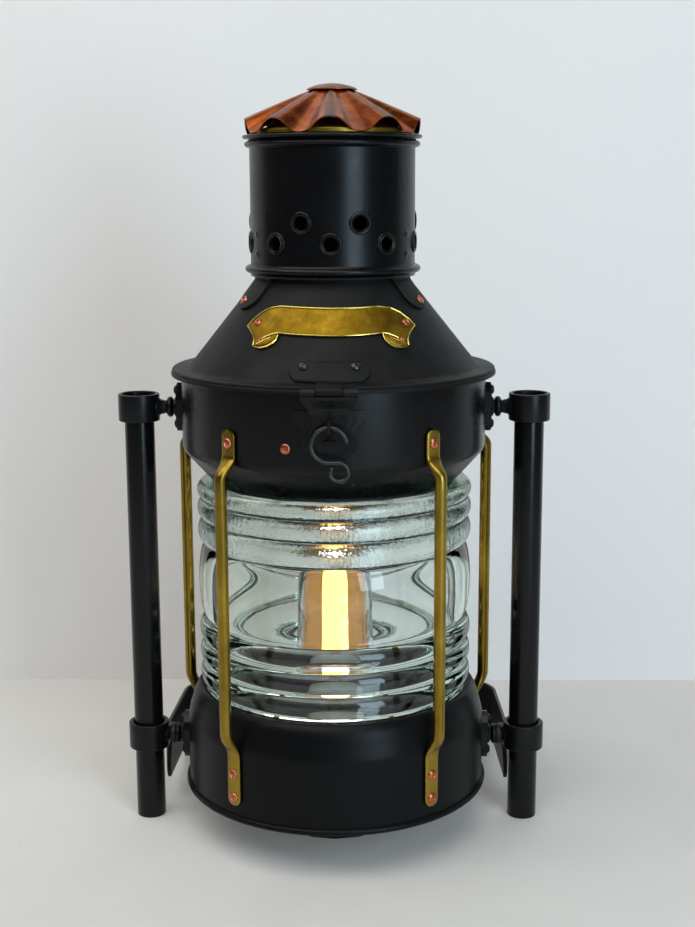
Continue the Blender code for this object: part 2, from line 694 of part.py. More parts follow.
# Lid: cone with skirt and collar
def build_lid_cone(parent):
    path = [(skirt_radius, lip_z)]
    path += arc((skirt_radius - SKIRT_ROUND, brim_z - SKIRT_ROUND), (SKIRT_ROUND, SKIRT_ROUND), 0, 90)
    path += [(cone_low_radius, brim_z), (cone_top_radius, cone_top),
             (collar_radius, cone_top + CHIMNEY_GAP), (collar_radius, cone_top + COLLAR_HEIGHT)]
    turned("lid_cone", sheet(path), "black_paint", parent)


# Chimney with its vents
def build_chimney(parent):
    path = [(CHIMNEY_RADIUS, chimney_z)]
    path += arc((CHIMNEY_RADIUS, chimney_z + CHIMNEY_BEAD_RISE), (CHIMNEY_BEAD, CHIMNEY_BEAD_HALF), -90, 90)
    path += arc((CHIMNEY_RADIUS, chimney_top - TOP_BEAD_DROP), (TOP_BEAD, TOP_BEAD_HALF), -90, 90)
    flange = CHIMNEY_RADIUS + TOP_FLANGE
    path += [(CHIMNEY_RADIUS, chimney_top - TOP_FLANGE_THICKNESS),
             (flange, chimney_top - TOP_FLANGE_THICKNESS), (flange, chimney_top)]
    inner = CHIMNEY_RADIUS - SHEET
    outline = path + [(inner, chimney_top), (inner, chimney_z)]
    chimney = turned("chimney", outline, "black_paint", parent)
    rows = [(angle, VENT_ROW_RISE) for angle in lower_vent_angles]
    rows += [(angle, VENT_ROW_RISE + VENT_ROW_STEP) for angle in upper_vent_angles]
    holes = radial_discs("vents", rows, VENT_RADIUS, inner - OVERRUN, CHIMNEY_RADIUS + OVERRUN, parent)
    boolean(chimney, holes)


def radial_discs(name, rows, radius, low, high, parent):
    work = bmesh.new()
    for angle, rise in rows:
        out, side = around(angle)
        centre = Vector((0, 0, chimney_z + rise))
        ends = []
        for reach in (low, high):
            loop = []
            for step in range(VENT_SEGMENTS):
                turn = 2 * math.pi * step / VENT_SEGMENTS
                rim = side * math.cos(turn) + Vector((0, 0, 1)) * math.sin(turn)
                loop.append(work.verts.new(centre + out * reach + rim * radius))
            ends.append(loop)
        join_loops(work, *ends)
        work.faces.new(ends[0])
        work.faces.new(ends[1])
    return finish_object(name, work, None, parent)


# Straps: riveted inside the chimney, out under its edge and down on the cone
def build_straps(parent):
    bore = (CHIMNEY_RADIUS - SHEET) * flat_share - FIT
    inside = bore - STRAP_THICKNESS - FIT
    normal = Vector((cone_slope.y, cone_slope.x))
    down = Vector((cone_slope.x, -cone_slope.y))
    bend = Vector((cone_top_radius, cone_top)) + down * ((inside - cone_top_radius) / down.x)
    mitre = (Vector((1, 0)) + normal).normalized()
    end = bend + down * STRAP_ON_CONE
    path = [(Vector((inside, chimney_z + STRAP_IN_CHIMNEY)), Vector((1, 0)), 1.0),
            (bend, mitre / mitre.x, 1.0), (end, normal, 1.0)]
    for degrees in strap_end_angles:
        turn = math.radians(degrees)
        path.append((end + down * (STRAP_END * math.sin(turn)), normal, math.cos(turn)))
    rows = [[(side * STRAP_WIDTH / 2 * wide, index) for side in spread(-1, 1, STRAP_COLUMNS)]
            for index, (point, across, wide) in enumerate(path)]

    def place(side, index, lift, angle):
        point, across, wide = path[index]
        turn = math.radians(angle) + side / point.x
        reach = point.x + across.x * lift
        return Vector((reach * math.sin(turn), -reach * math.cos(turn), point.y + across.y * lift))

    for number, angle in enumerate(strap_angles, 1):
        bent_plate("chimney_strap_%d" % number, rows, STRAP_THICKNESS, place, "black_iron", parent, angle)


# Cap: spider, post, dish, fluted sheet and button
def build_cap(parent):
    bore = (CHIMNEY_RADIUS - SHEET) * flat_share - FIT
    inner = math.sqrt(bore ** 2 - (SPIDER_WIDTH / 2) ** 2)
    spider_z = chimney_top - SPIDER_DROP
    half = SPIDER_THICKNESS / 2
    path = [(-inner + half, SPIDER_FOOT), (-inner + half, 0), (inner - half, 0), (inner - half, SPIDER_FOOT)]
    stations = []
    for index, (reach, rise) in enumerate(path):
        slant = 1 if index in (1, 2) else 0
        across = Vector((half * (1 if reach < 0 else -1), 0, half * slant))
        stations.append((Vector((reach, 0, spider_z + rise)), Vector((0, SPIDER_WIDTH / 2, 0)), across))
    spider = swept("cap_spider", stations, "black_iron", parent, SQUARE)

    dish_z = chimney_top + DISH_GAP
    dish_hole = POST_RADIUS + FIT
    path = [(dish_hole, dish_z), (dish_radius - DISH_DEPTH, dish_z), (dish_radius, dish_z + DISH_DEPTH)]
    turned("cap_dish", sheet(path), "dark_brass", parent, ROUND_SEGMENTS)

    rim_z = chimney_top + CAP_RIM_RISE
    centre_z = rim_z + CAP_RISE
    post_top = centre_z - CAP_SHEET - FIT
    post_low = spider_z + half + FIT
    collar_z = dish_z - FIT
    post = [(0, post_low), (POST_RADIUS + FIT + SHEET, post_low), (POST_RADIUS + FIT + SHEET, collar_z),
            (POST_RADIUS, collar_z), (POST_RADIUS, post_top), (0, post_top)]
    turned("cap_post", post, "steel", parent, SMALL_SEGMENTS)

    work = bmesh.new()
    around_steps = FLUTE_STEPS * CAP_FLUTES
    radii = spread(CAP_FLAT_RADIUS, cap_radius, ARC_STEPS)
    layers = []
    for drop in (0, CAP_SHEET):
        loops = []
        for radius in radii:
            share = (radius - CAP_FLAT_RADIUS) / (cap_radius - CAP_FLAT_RADIUS)
            loop = []
            for step in range(around_steps):
                turn = 2 * math.pi * step / around_steps
                wave = math.cos(CAP_FLUTES * turn) * CAP_FLUTE_HALF * share
                height = centre_z - CAP_RISE * share + wave - drop
                loop.append(work.verts.new((radius * math.sin(turn), -radius * math.cos(turn), height)))
            loops.append(loop)
        layers.append(loops)
    for loops in layers:
        for low, high in zip(loops, loops[1:]):
            join_loops(work, low, high)
    join_loops(work, layers[0][-1], layers[1][-1])
    work.faces.new(layers[0][0])
    work.faces.new(layers[1][0])
    finish_object("copper_cap", work, "copper", parent)

    button_z = centre_z + FIT
    outline = [(0, button_z), (BUTTON_RADIUS, button_z)]
    outline += arc((0, button_z), (BUTTON_RADIUS, BUTTON_HEIGHT), 20, 90)
    turned("cap_button", outline, "copper", parent, ROUND_SEGMENTS)


def join_loops(work, low, high):
    for index in range(len(low)):
        after = (index + 1) % len(low)
        work.faces.new((low[index], low[after], high[after], high[index]))


# Scroll plate
def build_scroll_plate(parent):
    lows = list(scroll_low_shares) + [(-side, rise) for side, rise in scroll_low_shares[-2::-1]]
    highs = list(scroll_high_shares) + [(-side, rise) for side, rise in scroll_high_shares[-2::-1]]
    edges = []
    for low, high in zip(lows, highs):
        edges.append([Vector((side * SCROLL_HALF, SCROLL_RISE + rise * SCROLL_HEIGHT))
                      for side, rise in (low, high)])
    rows = []
    for edge, following in zip(edges, edges[1:]):
        for share in (0, 0.5):
            low, high = [a.lerp(b, share) for a, b in zip(edge, following)]
            rows.append([tuple(low.lerp(high, along)) for along in spread(0, 1, 2)])
    low, high = edges[-1]
    rows.append([tuple(low.lerp(high, along)) for along in spread(0, 1, 2)])
    bent_plate("scroll_plate", rows, SCROLL_THICKNESS, cone_point, "brass", parent)


# Hinges
def lid_leaf(name, angle, half_width, knuckles, knuckle_z, finish, parent):
    """A leaf bent over the brim, with one tongue and one knuckle for each span given."""
    brim_reach = skirt_radius - SKIRT_ROUND - cone_low_radius
    rows = []
    for side in spread(-half_width, half_width, 2 * ARC_STEPS + 2):
        clip = max(0, abs(side) - half_width + LEAF_CLIP)
        rows.append([(side, -brim_reach), (side, 0), (side, LEAF_RISE - clip)])
    leaf = bent_plate(name, rows, LEAF_THICKNESS, cone_point, finish, parent, angle)
    out, side = around(angle)
    mid = brim_z + FIT + LEAF_THICKNESS / 2
    thin = LEAF_THICKNESS / 2 - LEAF_SKIN
    axis_reach = skirt_radius + FIT + KNUCKLE_RADIUS
    for number, (low, high) in enumerate(knuckles, 1):
        centre = side * ((low + high) / 2)
        half = side * ((high - low) / 2)
        root = skirt_radius - SKIRT_ROUND - LEAF_OVERLAP
        path = [(root, mid), (skirt_radius, mid), (axis_reach, knuckle_z + KNUCKLE_RADIUS / 2)]
        stations = []
        for index, (reach, height) in enumerate(path):
            tilt = Vector((0, 0, thin)) if index < 2 else (out + Vector((0, 0, 1))).normalized() * thin
            stations.append((centre + out * reach + Vector((0, 0, height)), half, tilt))
        tongue = swept("%s_tongue_%d" % (name, number), stations, None, parent, SQUARE)
        boolean(leaf, tongue, "UNION")
        knuckle_centre = centre + out * axis_reach + Vector((0, 0, knuckle_z))
        knuckle = rod("%s_knuckle_%d" % (name, number), high - low, KNUCKLE_RADIUS, knuckle_centre, None, parent)
        boolean(leaf, knuckle, "UNION")
    return leaf


def outer_spans():
    low = KNUCKLE_HALF + KNUCKLE_GAP
    return ((-KNUCKLE_END, -low), (low, KNUCKLE_END))


def build_rear_hinge(parent):
    span = 2 * KNUCKLE_END
    bore = rod("rear_pin_cut", span + OVERRUN, PIN_RADIUS + FIT, rear_axis)
    leaf = lid_leaf("rear_lid_leaf", 180, REAR_LEAF_HALF, outer_spans(), rear_axis.z, "black_iron", parent)
    boolean(leaf, bore)
    rod("rear_hinge_pin", span, PIN_RADIUS, rear_axis, "steel")

    top = drum_top - REAR_LEAF_DROP
    low = top - REAR_LEAF_HEIGHT
    rows = [[(side, low), (side, top)] for side in spread(-REAR_LEAF_HALF, REAR_LEAF_HALF, 2 * ARC_STEPS)]
    drum_leaf = bent_plate("rear_drum_leaf", rows, LEAF_THICKNESS, drum_point(DRUM_RADIUS), "black_iron",
                           None, 180)
    thin = LEAF_THICKNESS / 2 - LEAF_SKIN
    start = Vector((DRUM_RADIUS + FIT + LEAF_THICKNESS / 2, top - LEAF_THICKNESS))
    end = Vector((rear_axis.y, rear_axis.z - KNUCKLE_RADIUS / 2))
    ahead = (end - start).normalized()
    across = Vector((0, -ahead.y, ahead.x)) * thin
    wide = Vector((KNUCKLE_HALF, 0, 0))
    stations = [(Vector((0, start.x, start.y)), wide, across), (Vector((0, end.x, end.y)), wide, across)]
    boolean(drum_leaf, swept("rear_tongue", stations, None, None, SQUARE), "UNION")
    boolean(drum_leaf, rod("rear_knuckle", 2 * KNUCKLE_HALF, KNUCKLE_RADIUS, rear_axis), "UNION")
    boolean(drum_leaf, bore)


# Hasp, lug, keeper plate and hook
hasp_face = -(DRUM_RADIUS + KEEPER_THICKNESS + 2 * FIT + RUN)
hasp_plane = hasp_face - LEAF_THICKNESS / 2
lug_top = hasp_axis.z - LUG_DROP
hook_axis = Vector((0, hasp_plane - LUG_HOLE_REACH, lug_top - LUG_HOLE_DROP - LUG_HOLE + WIRE_RADIUS + RUN))


def build_hasp(lid, parent):
    bore = rod("hasp_pin_cut", 2 * KNUCKLE_END + OVERRUN, PIN_RADIUS + FIT, hasp_axis)
    upper = lid_leaf("hasp_upper_leaf", 0, LEAF_HALF, ((-KNUCKLE_HALF, KNUCKLE_HALF),), hasp_axis.z,
                     "black_iron", lid)
    boolean(upper, bore)
    rod("hasp_pin", 2 * KNUCKLE_END, PIN_RADIUS, hasp_axis, "steel", lid)

    top = hasp_axis.z - KNUCKLE_RADIUS - KNUCKLE_GAP
    low = hasp_axis.z - HASP_LENGTH
    drop = top - low
    front = hasp_axis.y
    thin = Vector((0, LEAF_THICKNESS / 2, 0))
    slim = Vector((0, LEAF_THICKNESS / 2 - LEAF_SKIN, 0))
    stations = []
    for (down_share, in_share), half in zip(hasp_shares, hasp_widths):
        depth = front + (hasp_plane - front) * in_share
        stations.append((Vector((0, depth, top - drop * down_share)), Vector((half, 0, 0)), thin))
    leaf = swept("hasp_leaf", stations, "black_iron", parent, SQUARE)
    for number, (left, right) in enumerate(outer_spans(), 1):
        centre = Vector(((left + right) / 2, hasp_axis.y, 0))
        half = Vector(((right - left) / 2, 0, 0))
        ends = (hasp_axis.z, top - KNUCKLE_GAP)
        stations = [(centre + Vector((0, 0, height)), half, slim) for height in ends]
        boolean(leaf, swept("hasp_lug_%d" % number, stations, None, parent, SQUARE), "UNION")
        knuckle = rod("hasp_knuckle_%d" % number, right - left, KNUCKLE_RADIUS,
                      centre + Vector((0, 0, hasp_axis.z)), None, parent)
        boolean(leaf, knuckle, "UNION")
    boolean(leaf, bore)
    build_lug(leaf, parent)


def build_lug(leaf, parent):
    face = hasp_plane - LEAF_THICKNESS / 2
    low = lug_top - LUG_HEIGHT
    shank_half = LUG_SHANK / 2
    shank_mid = (lug_top + low) / 2
    inside = hasp_face - FIT
    outline = [(inside, shank_mid + shank_half), (face - FIT, shank_mid + shank_half),
               (face - FIT, lug_top), (hasp_plane - LUG_REACH, lug_top - LUG_HOLE / 2),
               (hasp_plane - LUG_REACH, lug_top - LUG_HOLE_DROP - 2 * LUG_HOLE), (face - FIT, low),
               (face - FIT, shank_mid - shank_half), (inside, shank_mid - shank_half)]
    work = bmesh.new()
    half = LUG_THICKNESS / 2
    left = [work.verts.new((-half, y, z)) for y, z in outline]
    right = [work.verts.new((half, y, z)) for y, z in outline]
    work.faces.new(left)
    work.faces.new(right)
    join_loops(work, left, right)
    lug = finish_object("hasp_lug", work, "black_iron", parent)
    hole = Vector((0, hasp_plane - LUG_HOLE_REACH, lug_top - LUG_HOLE_DROP))
    hole_cut = rod("lug_hole_cut", LUG_THICKNESS + 2 * OVERRUN, LUG_HOLE, hole, None, parent, ROUND_SEGMENTS)
    boolean(lug, hole_cut)
    slot = [(Vector((0, hasp_plane - OVERRUN, shank_mid)), Vector((half + FIT, 0, 0)),
             Vector((0, 0, shank_half + FIT))),
            (Vector((0, hasp_plane + OVERRUN, shank_mid)), Vector((half + FIT, 0, 0)),
             Vector((0, 0, shank_half + FIT)))]
    boolean(leaf, swept("hasp_slot_cut", slot, None, parent, SQUARE))


def build_hook(parent):
    centre = Vector((0, hook_axis.y, hook_axis.z - HOOK_LOOP))
    depth = Vector((0, WIRE_RADIUS, 0))
    stations = []
    for step in range(HOOK_STEPS + 1):
        turn = math.radians(HOOK_MOUTH_ANGLE + (270 - HOOK_MOUTH_ANGLE) * step / HOOK_STEPS)
        outward = Vector((math.cos(turn), 0, math.sin(turn)))
        stations.append((centre + outward * HOOK_LOOP, depth, outward * WIRE_RADIUS))
    tail = Vector((HOOK_LINK, hook_axis.y, centre.z - HOOK_LOOP - HOOK_TAIL))
    for step in range(HOOK_STEPS + 1):
        turn = math.radians(90 - HOOK_TAIL_TURN * step / HOOK_STEPS)
        outward = Vector((math.cos(turn), 0, math.sin(turn)))
        stations.append((tail + outward * HOOK_TAIL, depth, outward * -WIRE_RADIUS))
    swept("s_hook", stations, "black_iron", parent)


def build_keeper():
    top = drum_top - KEEPER_DROP
    low = top - KEEPER_HEIGHT
    rows = []
    for column in spread(-1, 1, 2 * ARC_STEPS + 2):
        rows.append([(column * KEEPER_HALF * wide, low + KEEPER_HEIGHT * share)
                     for share, wide in keeper_shares])
    bent_plate("keeper_plate", rows, KEEPER_THICKNESS, drum_point(DRUM_RADIUS), "black_iron")


# Lamp inside the lens
def build_lamp():
    floor = plate_z + SHEET + FIT
    stem_top = floor + STEM_HEIGHT
    turned("lamp_stem", ring(STEM_BORE, STEM_RADIUS, floor, stem_top), "brass", None, ROUND_SEGMENTS)
    holder = stem_top + FIT
    holder_top = holder + HOLDER_HEIGHT
    screw = CAP_SCREW_RADIUS + FIT
    outline = [(0, holder), (HOLDER_RADIUS, holder), (HOLDER_RADIUS, holder_top), (screw, holder_top),
               (screw, holder_top - CAP_SCREW_HEIGHT), (0, holder_top - CAP_SCREW_HEIGHT)]
    turned("lamp_holder", outline, "porcelain", None, ROUND_SEGMENTS)
    gallery = holder + HOLDER_HEIGHT - GALLERY_RIM
    path = [(HOLDER_RADIUS + FIT, gallery), (GALLERY_RADIUS, gallery), (GALLERY_RADIUS, gallery + GALLERY_RIM)]
    turned("gallery", sheet(path, GALLERY_THICKNESS), "brass", None, ROUND_SEGMENTS)
    glass = gallery + GALLERY_THICKNESS + FIT
    jar_top = glass + GLASS_HEIGHT
    flared = GLASS_RADIUS + GLASS_FLARE
    outline = [(flared - GLASS_WALL, glass), (flared, glass), (GLASS_RADIUS, glass + GLASS_HEIGHT / 2),
               (GLASS_RADIUS, jar_top), (GLASS_RADIUS - GLASS_WALL, jar_top),
               (GLASS_RADIUS - GLASS_WALL, glass + GLASS_HEIGHT / 2)]
    turned("glass_jar", outline, "clear_glass", None, ROUND_SEGMENTS)
    bore = TUBE_LAMP_RADIUS + RUN
    turned("jar_cap", ring(bore, JAR_CAP_RADIUS, jar_top + FIT, jar_top + FIT + JAR_CAP_THICKNESS),
           "brass", None, ROUND_SEGMENTS)
    globe_low = jar_top - GLOBE_HEIGHT
    opening = math.degrees(math.acos((bore + GLOBE_WALL) / GLOBE_RADIUS))
    path = arc((0, globe_low + GLOBE_ROUND), (GLOBE_RADIUS, GLOBE_ROUND), -opening, 0)
    path += [(GLOBE_RADIUS, jar_top)]
    turned("amber_globe", sheet(path, GLOBE_WALL), "amber_glass", None, ROUND_SEGMENTS)
    cap_low = holder_top - CAP_SCREW_HEIGHT + FIT
    cap_top = cap_low + CAP_SCREW_HEIGHT + FIT
    turned("lamp_cap", ring(0, CAP_SCREW_RADIUS, cap_low, cap_top), "brass", None, ROUND_SEGMENTS)
    low = cap_top + FIT
    high = low + TUBE_LAMP_HEIGHT
    outline = [(0, low), (TUBE_LAMP_RADIUS, low), (TUBE_LAMP_RADIUS, high - TUBE_LAMP_ROUND),
               (TUBE_LAMP_RADIUS - TUBE_LAMP_ROUND, high), (0, high)]
    turned("lamp_tube", outline, "hot_wire", None, ROUND_SEGMENTS)


lid_axis = axis_empty("lid_axis", rear_axis)
hasp_empty = axis_empty("hasp_axis", hasp_axis, lid_axis)
hook_empty = axis_empty("hook_axis", hook_axis, hasp_empty)
bail_empty = axis_empty("bail_axis", bail_axis)

base = build_base()
build_gland()
build_lens()
drum = build_upper_drum()
build_guard_rods()
build_eyes({"upper": drum, "lower": base})
build_bail(bail_empty)
build_lid_cone(lid_axis)
build_chimney(lid_axis)
build_straps(lid_axis)
build_cap(lid_axis)
build_scroll_plate(lid_axis)
build_rear_hinge(lid_axis)
build_hasp(lid_axis, hasp_empty)
build_hook(hook_empty)
build_keeper()
build_lamp()
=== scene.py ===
import math

import bmesh
import bpy
from mathutils import Matrix, Vector


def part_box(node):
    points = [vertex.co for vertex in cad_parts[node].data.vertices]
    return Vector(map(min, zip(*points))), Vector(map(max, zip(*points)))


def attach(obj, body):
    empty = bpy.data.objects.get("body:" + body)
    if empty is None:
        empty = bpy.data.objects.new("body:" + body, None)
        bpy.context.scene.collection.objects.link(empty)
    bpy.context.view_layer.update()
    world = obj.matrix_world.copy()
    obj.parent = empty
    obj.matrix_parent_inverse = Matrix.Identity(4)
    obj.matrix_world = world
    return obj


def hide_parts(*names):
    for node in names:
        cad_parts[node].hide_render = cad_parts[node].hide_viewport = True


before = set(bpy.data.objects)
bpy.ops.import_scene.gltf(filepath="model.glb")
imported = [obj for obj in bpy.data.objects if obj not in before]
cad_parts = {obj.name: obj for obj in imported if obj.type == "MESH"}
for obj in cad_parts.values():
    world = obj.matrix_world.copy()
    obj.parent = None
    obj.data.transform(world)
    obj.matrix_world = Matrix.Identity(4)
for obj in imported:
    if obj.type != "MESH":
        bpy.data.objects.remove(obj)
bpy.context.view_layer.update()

MM = 0.001
X_AXIS, Z_AXIS = Vector((1, 0, 0)), Vector((0, 0, 1))

# Main sizes of the solids, in millimetres

BASE_RADIUS, DRUM_RADIUS, CHIMNEY_RADIUS = 111.8, 111.0, 59.0
SHEET = 1.2
BASE_CREASE_Z, BASE_TOP_Z, BASE_NECK = 85.5, 111.5, 100.3
LENS_BORE, LENS_LOW_Z = 86.0, 107.1
TUBE_PLACE, TUBE_RADIUS, TUBE_TOP_Z = 143.5, 10.9, 323.3
UPPER_EYE_Z, LOWER_EYE_Z = 319.3, 65.5
EYE_BAND_RADIUS, EYE_BAND_HALF = 15.2, 10.0
ROD_CIRCLE, ROD_RADIUS, ROD_FLAT_HALF, ROD_FLAT_DEPTH = 121.0, 4.2, 5.75, 1.2
ROD_LOW_Z, ROD_HIGH_Z = (52.5, 70.0), 308.0
ROD_ANGLES = (-38.0, 38.0, 108.0, 180.0, -108.0)
CONE_LOW, CONE_HIGH, BRIM_Z, CONE_RISE = 105.5, 55.2, 350.2, 62.9
HINGE_REACH, HINGE_Z, KNUCKLE_RADIUS, KNUCKLE_HALF = 121.2, 347.6, 2.9, 9.0
STRAP_ANGLES, STRAP_RIVET_SLANT = (65, 180, 295), 62.0
CAP_RADIUS, CAP_TOP_Z, CAP_DROP, CAP_FLUTES = 62.2, 544.5, 24.4, 9
LAMP_RADIUS, LAMP_LOW_Z, LAMP_HIGH_Z = 9.8, 131.4, 197.4
JAR_RADIUS, JAR_LOW_Z, JAR_HIGH_Z = 28.0, 128.3, 194.7
GLOBE_RADIUS = 24.5


# Materials

class Shade:
    """A material with a Principled shader and short calls for its texture nodes."""

    def __init__(self, name, metallic=0.0, ior=1.5, transmission=0.0, coat=0.0, specular=0.5):
        self.material = bpy.data.materials.new(name)
        self.material.use_nodes = True
        self.tree = self.material.node_tree
        self.shader = self.tree.nodes["Principled BSDF"]
        self.shader.inputs["Metallic"].default_value = metallic
        self.shader.inputs["IOR"].default_value = ior
        self.shader.inputs["Transmission Weight"].default_value = transmission
        self.shader.inputs["Coat Weight"].default_value = coat
        self.shader.inputs["Specular IOR Level"].default_value = specular
        self.coords = self.tree.nodes.new("ShaderNodeTexCoord").outputs["Object"]
        self.bumped = None

    def scaled(self, scale):
        node = self.tree.nodes.new("ShaderNodeMapping")
        node.inputs["Scale"].default_value = scale
        self.tree.links.new(self.coords, node.inputs["Vector"])
        return node.outputs["Vector"]

    def noise(self, scale, detail=4.0, rough=0.55, distortion=0.0, stretch=None):
        node = self.tree.nodes.new("ShaderNodeTexNoise")
        node.inputs["Scale"].default_value = scale
        node.inputs["Detail"].default_value = detail
        node.inputs["Roughness"].default_value = rough
        node.inputs["Distortion"].default_value = distortion
        self.tree.links.new(self.scaled(stretch) if stretch else self.coords, node.inputs["Vector"])
        return node.outputs["Fac"]

    def ramp(self, value, *stops):
        node = self.tree.nodes.new("ShaderNodeValToRGB")
        self.tree.links.new(value, node.inputs["Fac"])
        elements = node.color_ramp.elements
        while len(elements) < len(stops):
            elements.new(0.5)
        for element, (place, colour) in zip(elements, stops):
            element.position = place
            element.color = (*colour, 1) if isinstance(colour, tuple) else (colour, colour, colour, 1)
        return node.outputs["Color"]

    def mix(self, share, first, second, mode="MIX"):
        node = self.tree.nodes.new("ShaderNodeMix")
        node.data_type = "RGBA"
        node.blend_type = mode
        self._set(node.inputs[0], share)
        self._set(node.inputs[6], first)
        self._set(node.inputs[7], second)
        return node.outputs[2]

    def upward(self, low, high):
        """One where the surface faces up, nought where it doesn't."""
        split = self.tree.nodes.new("ShaderNodeSeparateXYZ")
        geometry = self.tree.nodes.new("ShaderNodeNewGeometry")
        self.tree.links.new(geometry.outputs["Normal"], split.inputs[0])
        return self.ramp(split.outputs["Z"], (low, 0.0), (high, 1.0))

    def math(self, operation, *values):
        node = self.tree.nodes.new("ShaderNodeMath")
        node.operation = operation
        for socket, value in zip(node.inputs, values):
            self._set(socket, value)
        return node.outputs[0]

    def axis(self, letter):
        split = self.tree.nodes.new("ShaderNodeSeparateXYZ")
        self.tree.links.new(self.coords, split.inputs[0])
        return split.outputs[letter]

    def crests(self, count, *stops):
        """A ramp over radial waves that start at the front: nought in a valley, one on a crest."""
        turn = self.math("ARCTAN2", self.axis("X"), self.math("MULTIPLY", self.axis("Y"), -1.0))
        wave = self.math("COSINE", self.math("MULTIPLY", turn, float(count)))
        return self.ramp(self.math("MULTIPLY_ADD", wave, 0.5, 0.5), *stops)

    def _set(self, socket, value):
        if isinstance(value, bpy.types.NodeSocket):
            self.tree.links.new(value, socket)
        elif isinstance(value, tuple):
            socket.default_value = (*value, 1)
        else:
            socket.default_value = value

    def colour(self, value):
        self._set(self.shader.inputs["Base Color"], value)
        return self

    def rough(self, value):
        self._set(self.shader.inputs["Roughness"], value)
        return self

    def bump(self, height, strength, distance):
        node = self.tree.nodes.new("ShaderNodeBump")
        node.inputs["Strength"].default_value = strength
        node.inputs["Distance"].default_value = distance
        self.tree.links.new(height, node.inputs["Height"])
        if self.bumped:
            self.tree.links.new(self.bumped, node.inputs["Normal"])
        self.bumped = node.outputs["Normal"]
        self.tree.links.new(self.bumped, self.shader.inputs["Normal"])
        return self


def black_paint(name, low, high, roughness, dust=0.035, grain=0.06, specular=0.2):
    """Brushed black paint: cloudy between two blacks, with specks, settled dust and a fine grain."""
    made = Shade(name, specular=specular)
    patches = made.noise(11, 5)
    base = made.mix(patches, low, high)
    specks = made.ramp(made.noise(420, 2, 0.7), (0.72, 0.0), (0.80, 1.0))
    base = made.mix(made.mix(specks, (0, 0, 0), (0.10, 0.10, 0.10)), base, (0.07, 0.07, 0.07))
    settled = made.mix(made.upward(0.35, 1.0), (0, 0, 0),
                       made.ramp(made.noise(60, 6, 0.7), (0.40, 0.0), (0.85, dust * 5)))
    base = made.mix(settled, base, (0.12, 0.115, 0.11))
    made.colour(base)
    made.rough(made.ramp(made.noise(28, 5, 0.6), (0.3, roughness - 0.05), (0.7, roughness + 0.05)))
    made.bump(made.noise(520, 3, 0.6), grain, 0.0004)
    made.bump(made.noise(24, 2), 0.08, 0.0010)
    return made.material


def metal(name, deep, mid, bright, roughness, grain_scale=(1, 1, 1), patina=9, bump=0.08):
    """Bare metal with a cloudy patina between three tones and fine drawn grain."""
    made = Shade(name, metallic=1.0)
    tone = made.ramp(made.noise(patina, 6, 0.62, 0.4), (0.30, deep), (0.52, mid), (0.74, bright))
    fine = made.noise(300, 4, 0.7, stretch=grain_scale)
    tone = made.mix(0.28, tone, made.ramp(fine, (0.3, deep), (0.7, bright)))
    made.colour(tone)
    made.rough(made.ramp(made.noise(70, 5, 0.65, stretch=grain_scale),
                         (0.3, roughness - 0.07), (0.7, roughness + 0.10)))
    made.bump(fine, bump, 0.0002)
    made.bump(made.noise(60, 3), bump, 0.0006)
    return made.material


def glass(name, tint, absorb, density, roughness=0.0, ripple=0.0, frost=None, transmission=1.0):
    """Glass with a tint at its faces and in its depth; frost is a low and a high Z and a roughness."""
    made = Shade(name, transmission=transmission, ior=1.5)
    made.colour(made.mix(made.noise(30, 2), tint, tuple(min(1.0, share * 1.02) for share in tint)))
    if frost:
        high = made.ramp(made.axis("Z"), (frost[0], 0.0), (frost[1], 1.0))
        grit = made.ramp(made.noise(900, 3, 0.65), (0.42, 0.0), (0.68, 1.0))
        made.rough(made.math("MULTIPLY", made.math("MULTIPLY", high, grit), frost[2]))
        made.bump(made.math("MULTIPLY", high, made.noise(360, 2, 0.6)), 0.75, 0.0005)
    else:
        made.rough(made.ramp(made.noise(40, 3), (0.3, roughness), (0.8, roughness + 0.015)))
    if ripple:
        made.bump(made.noise(38, 3, 0.5, 0.6), ripple, 0.0008)
    if density:
        volume = made.tree.nodes.new("ShaderNodeVolumeAbsorption")
        volume.inputs["Color"].default_value = (*absorb, 1)
        volume.inputs["Density"].default_value = density
        made.tree.links.new(volume.outputs[0], made.tree.nodes["Material Output"].inputs["Volume"])
    return made.material


def copper(name, deep, mid, bright, sheen_tarnish_grey, flutes):
    """Copper with grey-brown crests, and on a piece without flutes grey-brown upward faces: painted
    reflection of the pale room, partly tarnish; the flanks of the flutes get painted shade in the deep tone.
    """
    made = Shade(name, metallic=1.0)
    tone = made.ramp(made.noise(30, 7, 0.68, 0.8), (0.34, deep), (0.52, mid), (0.72, bright))
    streaks = made.noise(240, 5, 0.72)
    tone = made.mix(0.35, tone, made.ramp(streaks, (0.32, deep), (0.68, mid)))
    if flutes:
        # Crests turn grey-brown: painted reflection of the pale room, partly tarnish.
        sheen_and_tarnish = made.math("MULTIPLY", made.crests(flutes, (0.86, 0.0), (0.96, 1.0)),
                         made.ramp(made.noise(55, 4), (0.25, 0.6), (0.6, 1.0)))
        # Flanks of the flutes are darkened to the deep tone: painted shade.
        flank_shade = made.crests(flutes, (0.05, 0.0), (0.45, 0.55), (0.75, 0.45), (0.90, 0.0))
        tone = made.mix(flank_shade, tone, deep)
    else:
        # Upward faces turn grey-brown: painted reflection of the room above, partly tarnish.
        sheen_and_tarnish = made.math("MULTIPLY", made.upward(0.55, 0.95),
                         made.ramp(made.noise(55, 4), (0.25, 0.75), (0.6, 1.0)))
    made.colour(made.mix(sheen_and_tarnish, tone, sheen_tarnish_grey))
    made.rough(made.math("ADD", made.ramp(made.noise(130, 5, 0.65), (0.3, 0.20), (0.7, 0.34)),
                         made.math("MULTIPLY", sheen_and_tarnish, 0.22)))
    made.bump(streaks, 0.16, 0.0003)
    made.bump(made.noise(60, 3), 0.14, 0.0008)
    return made.material


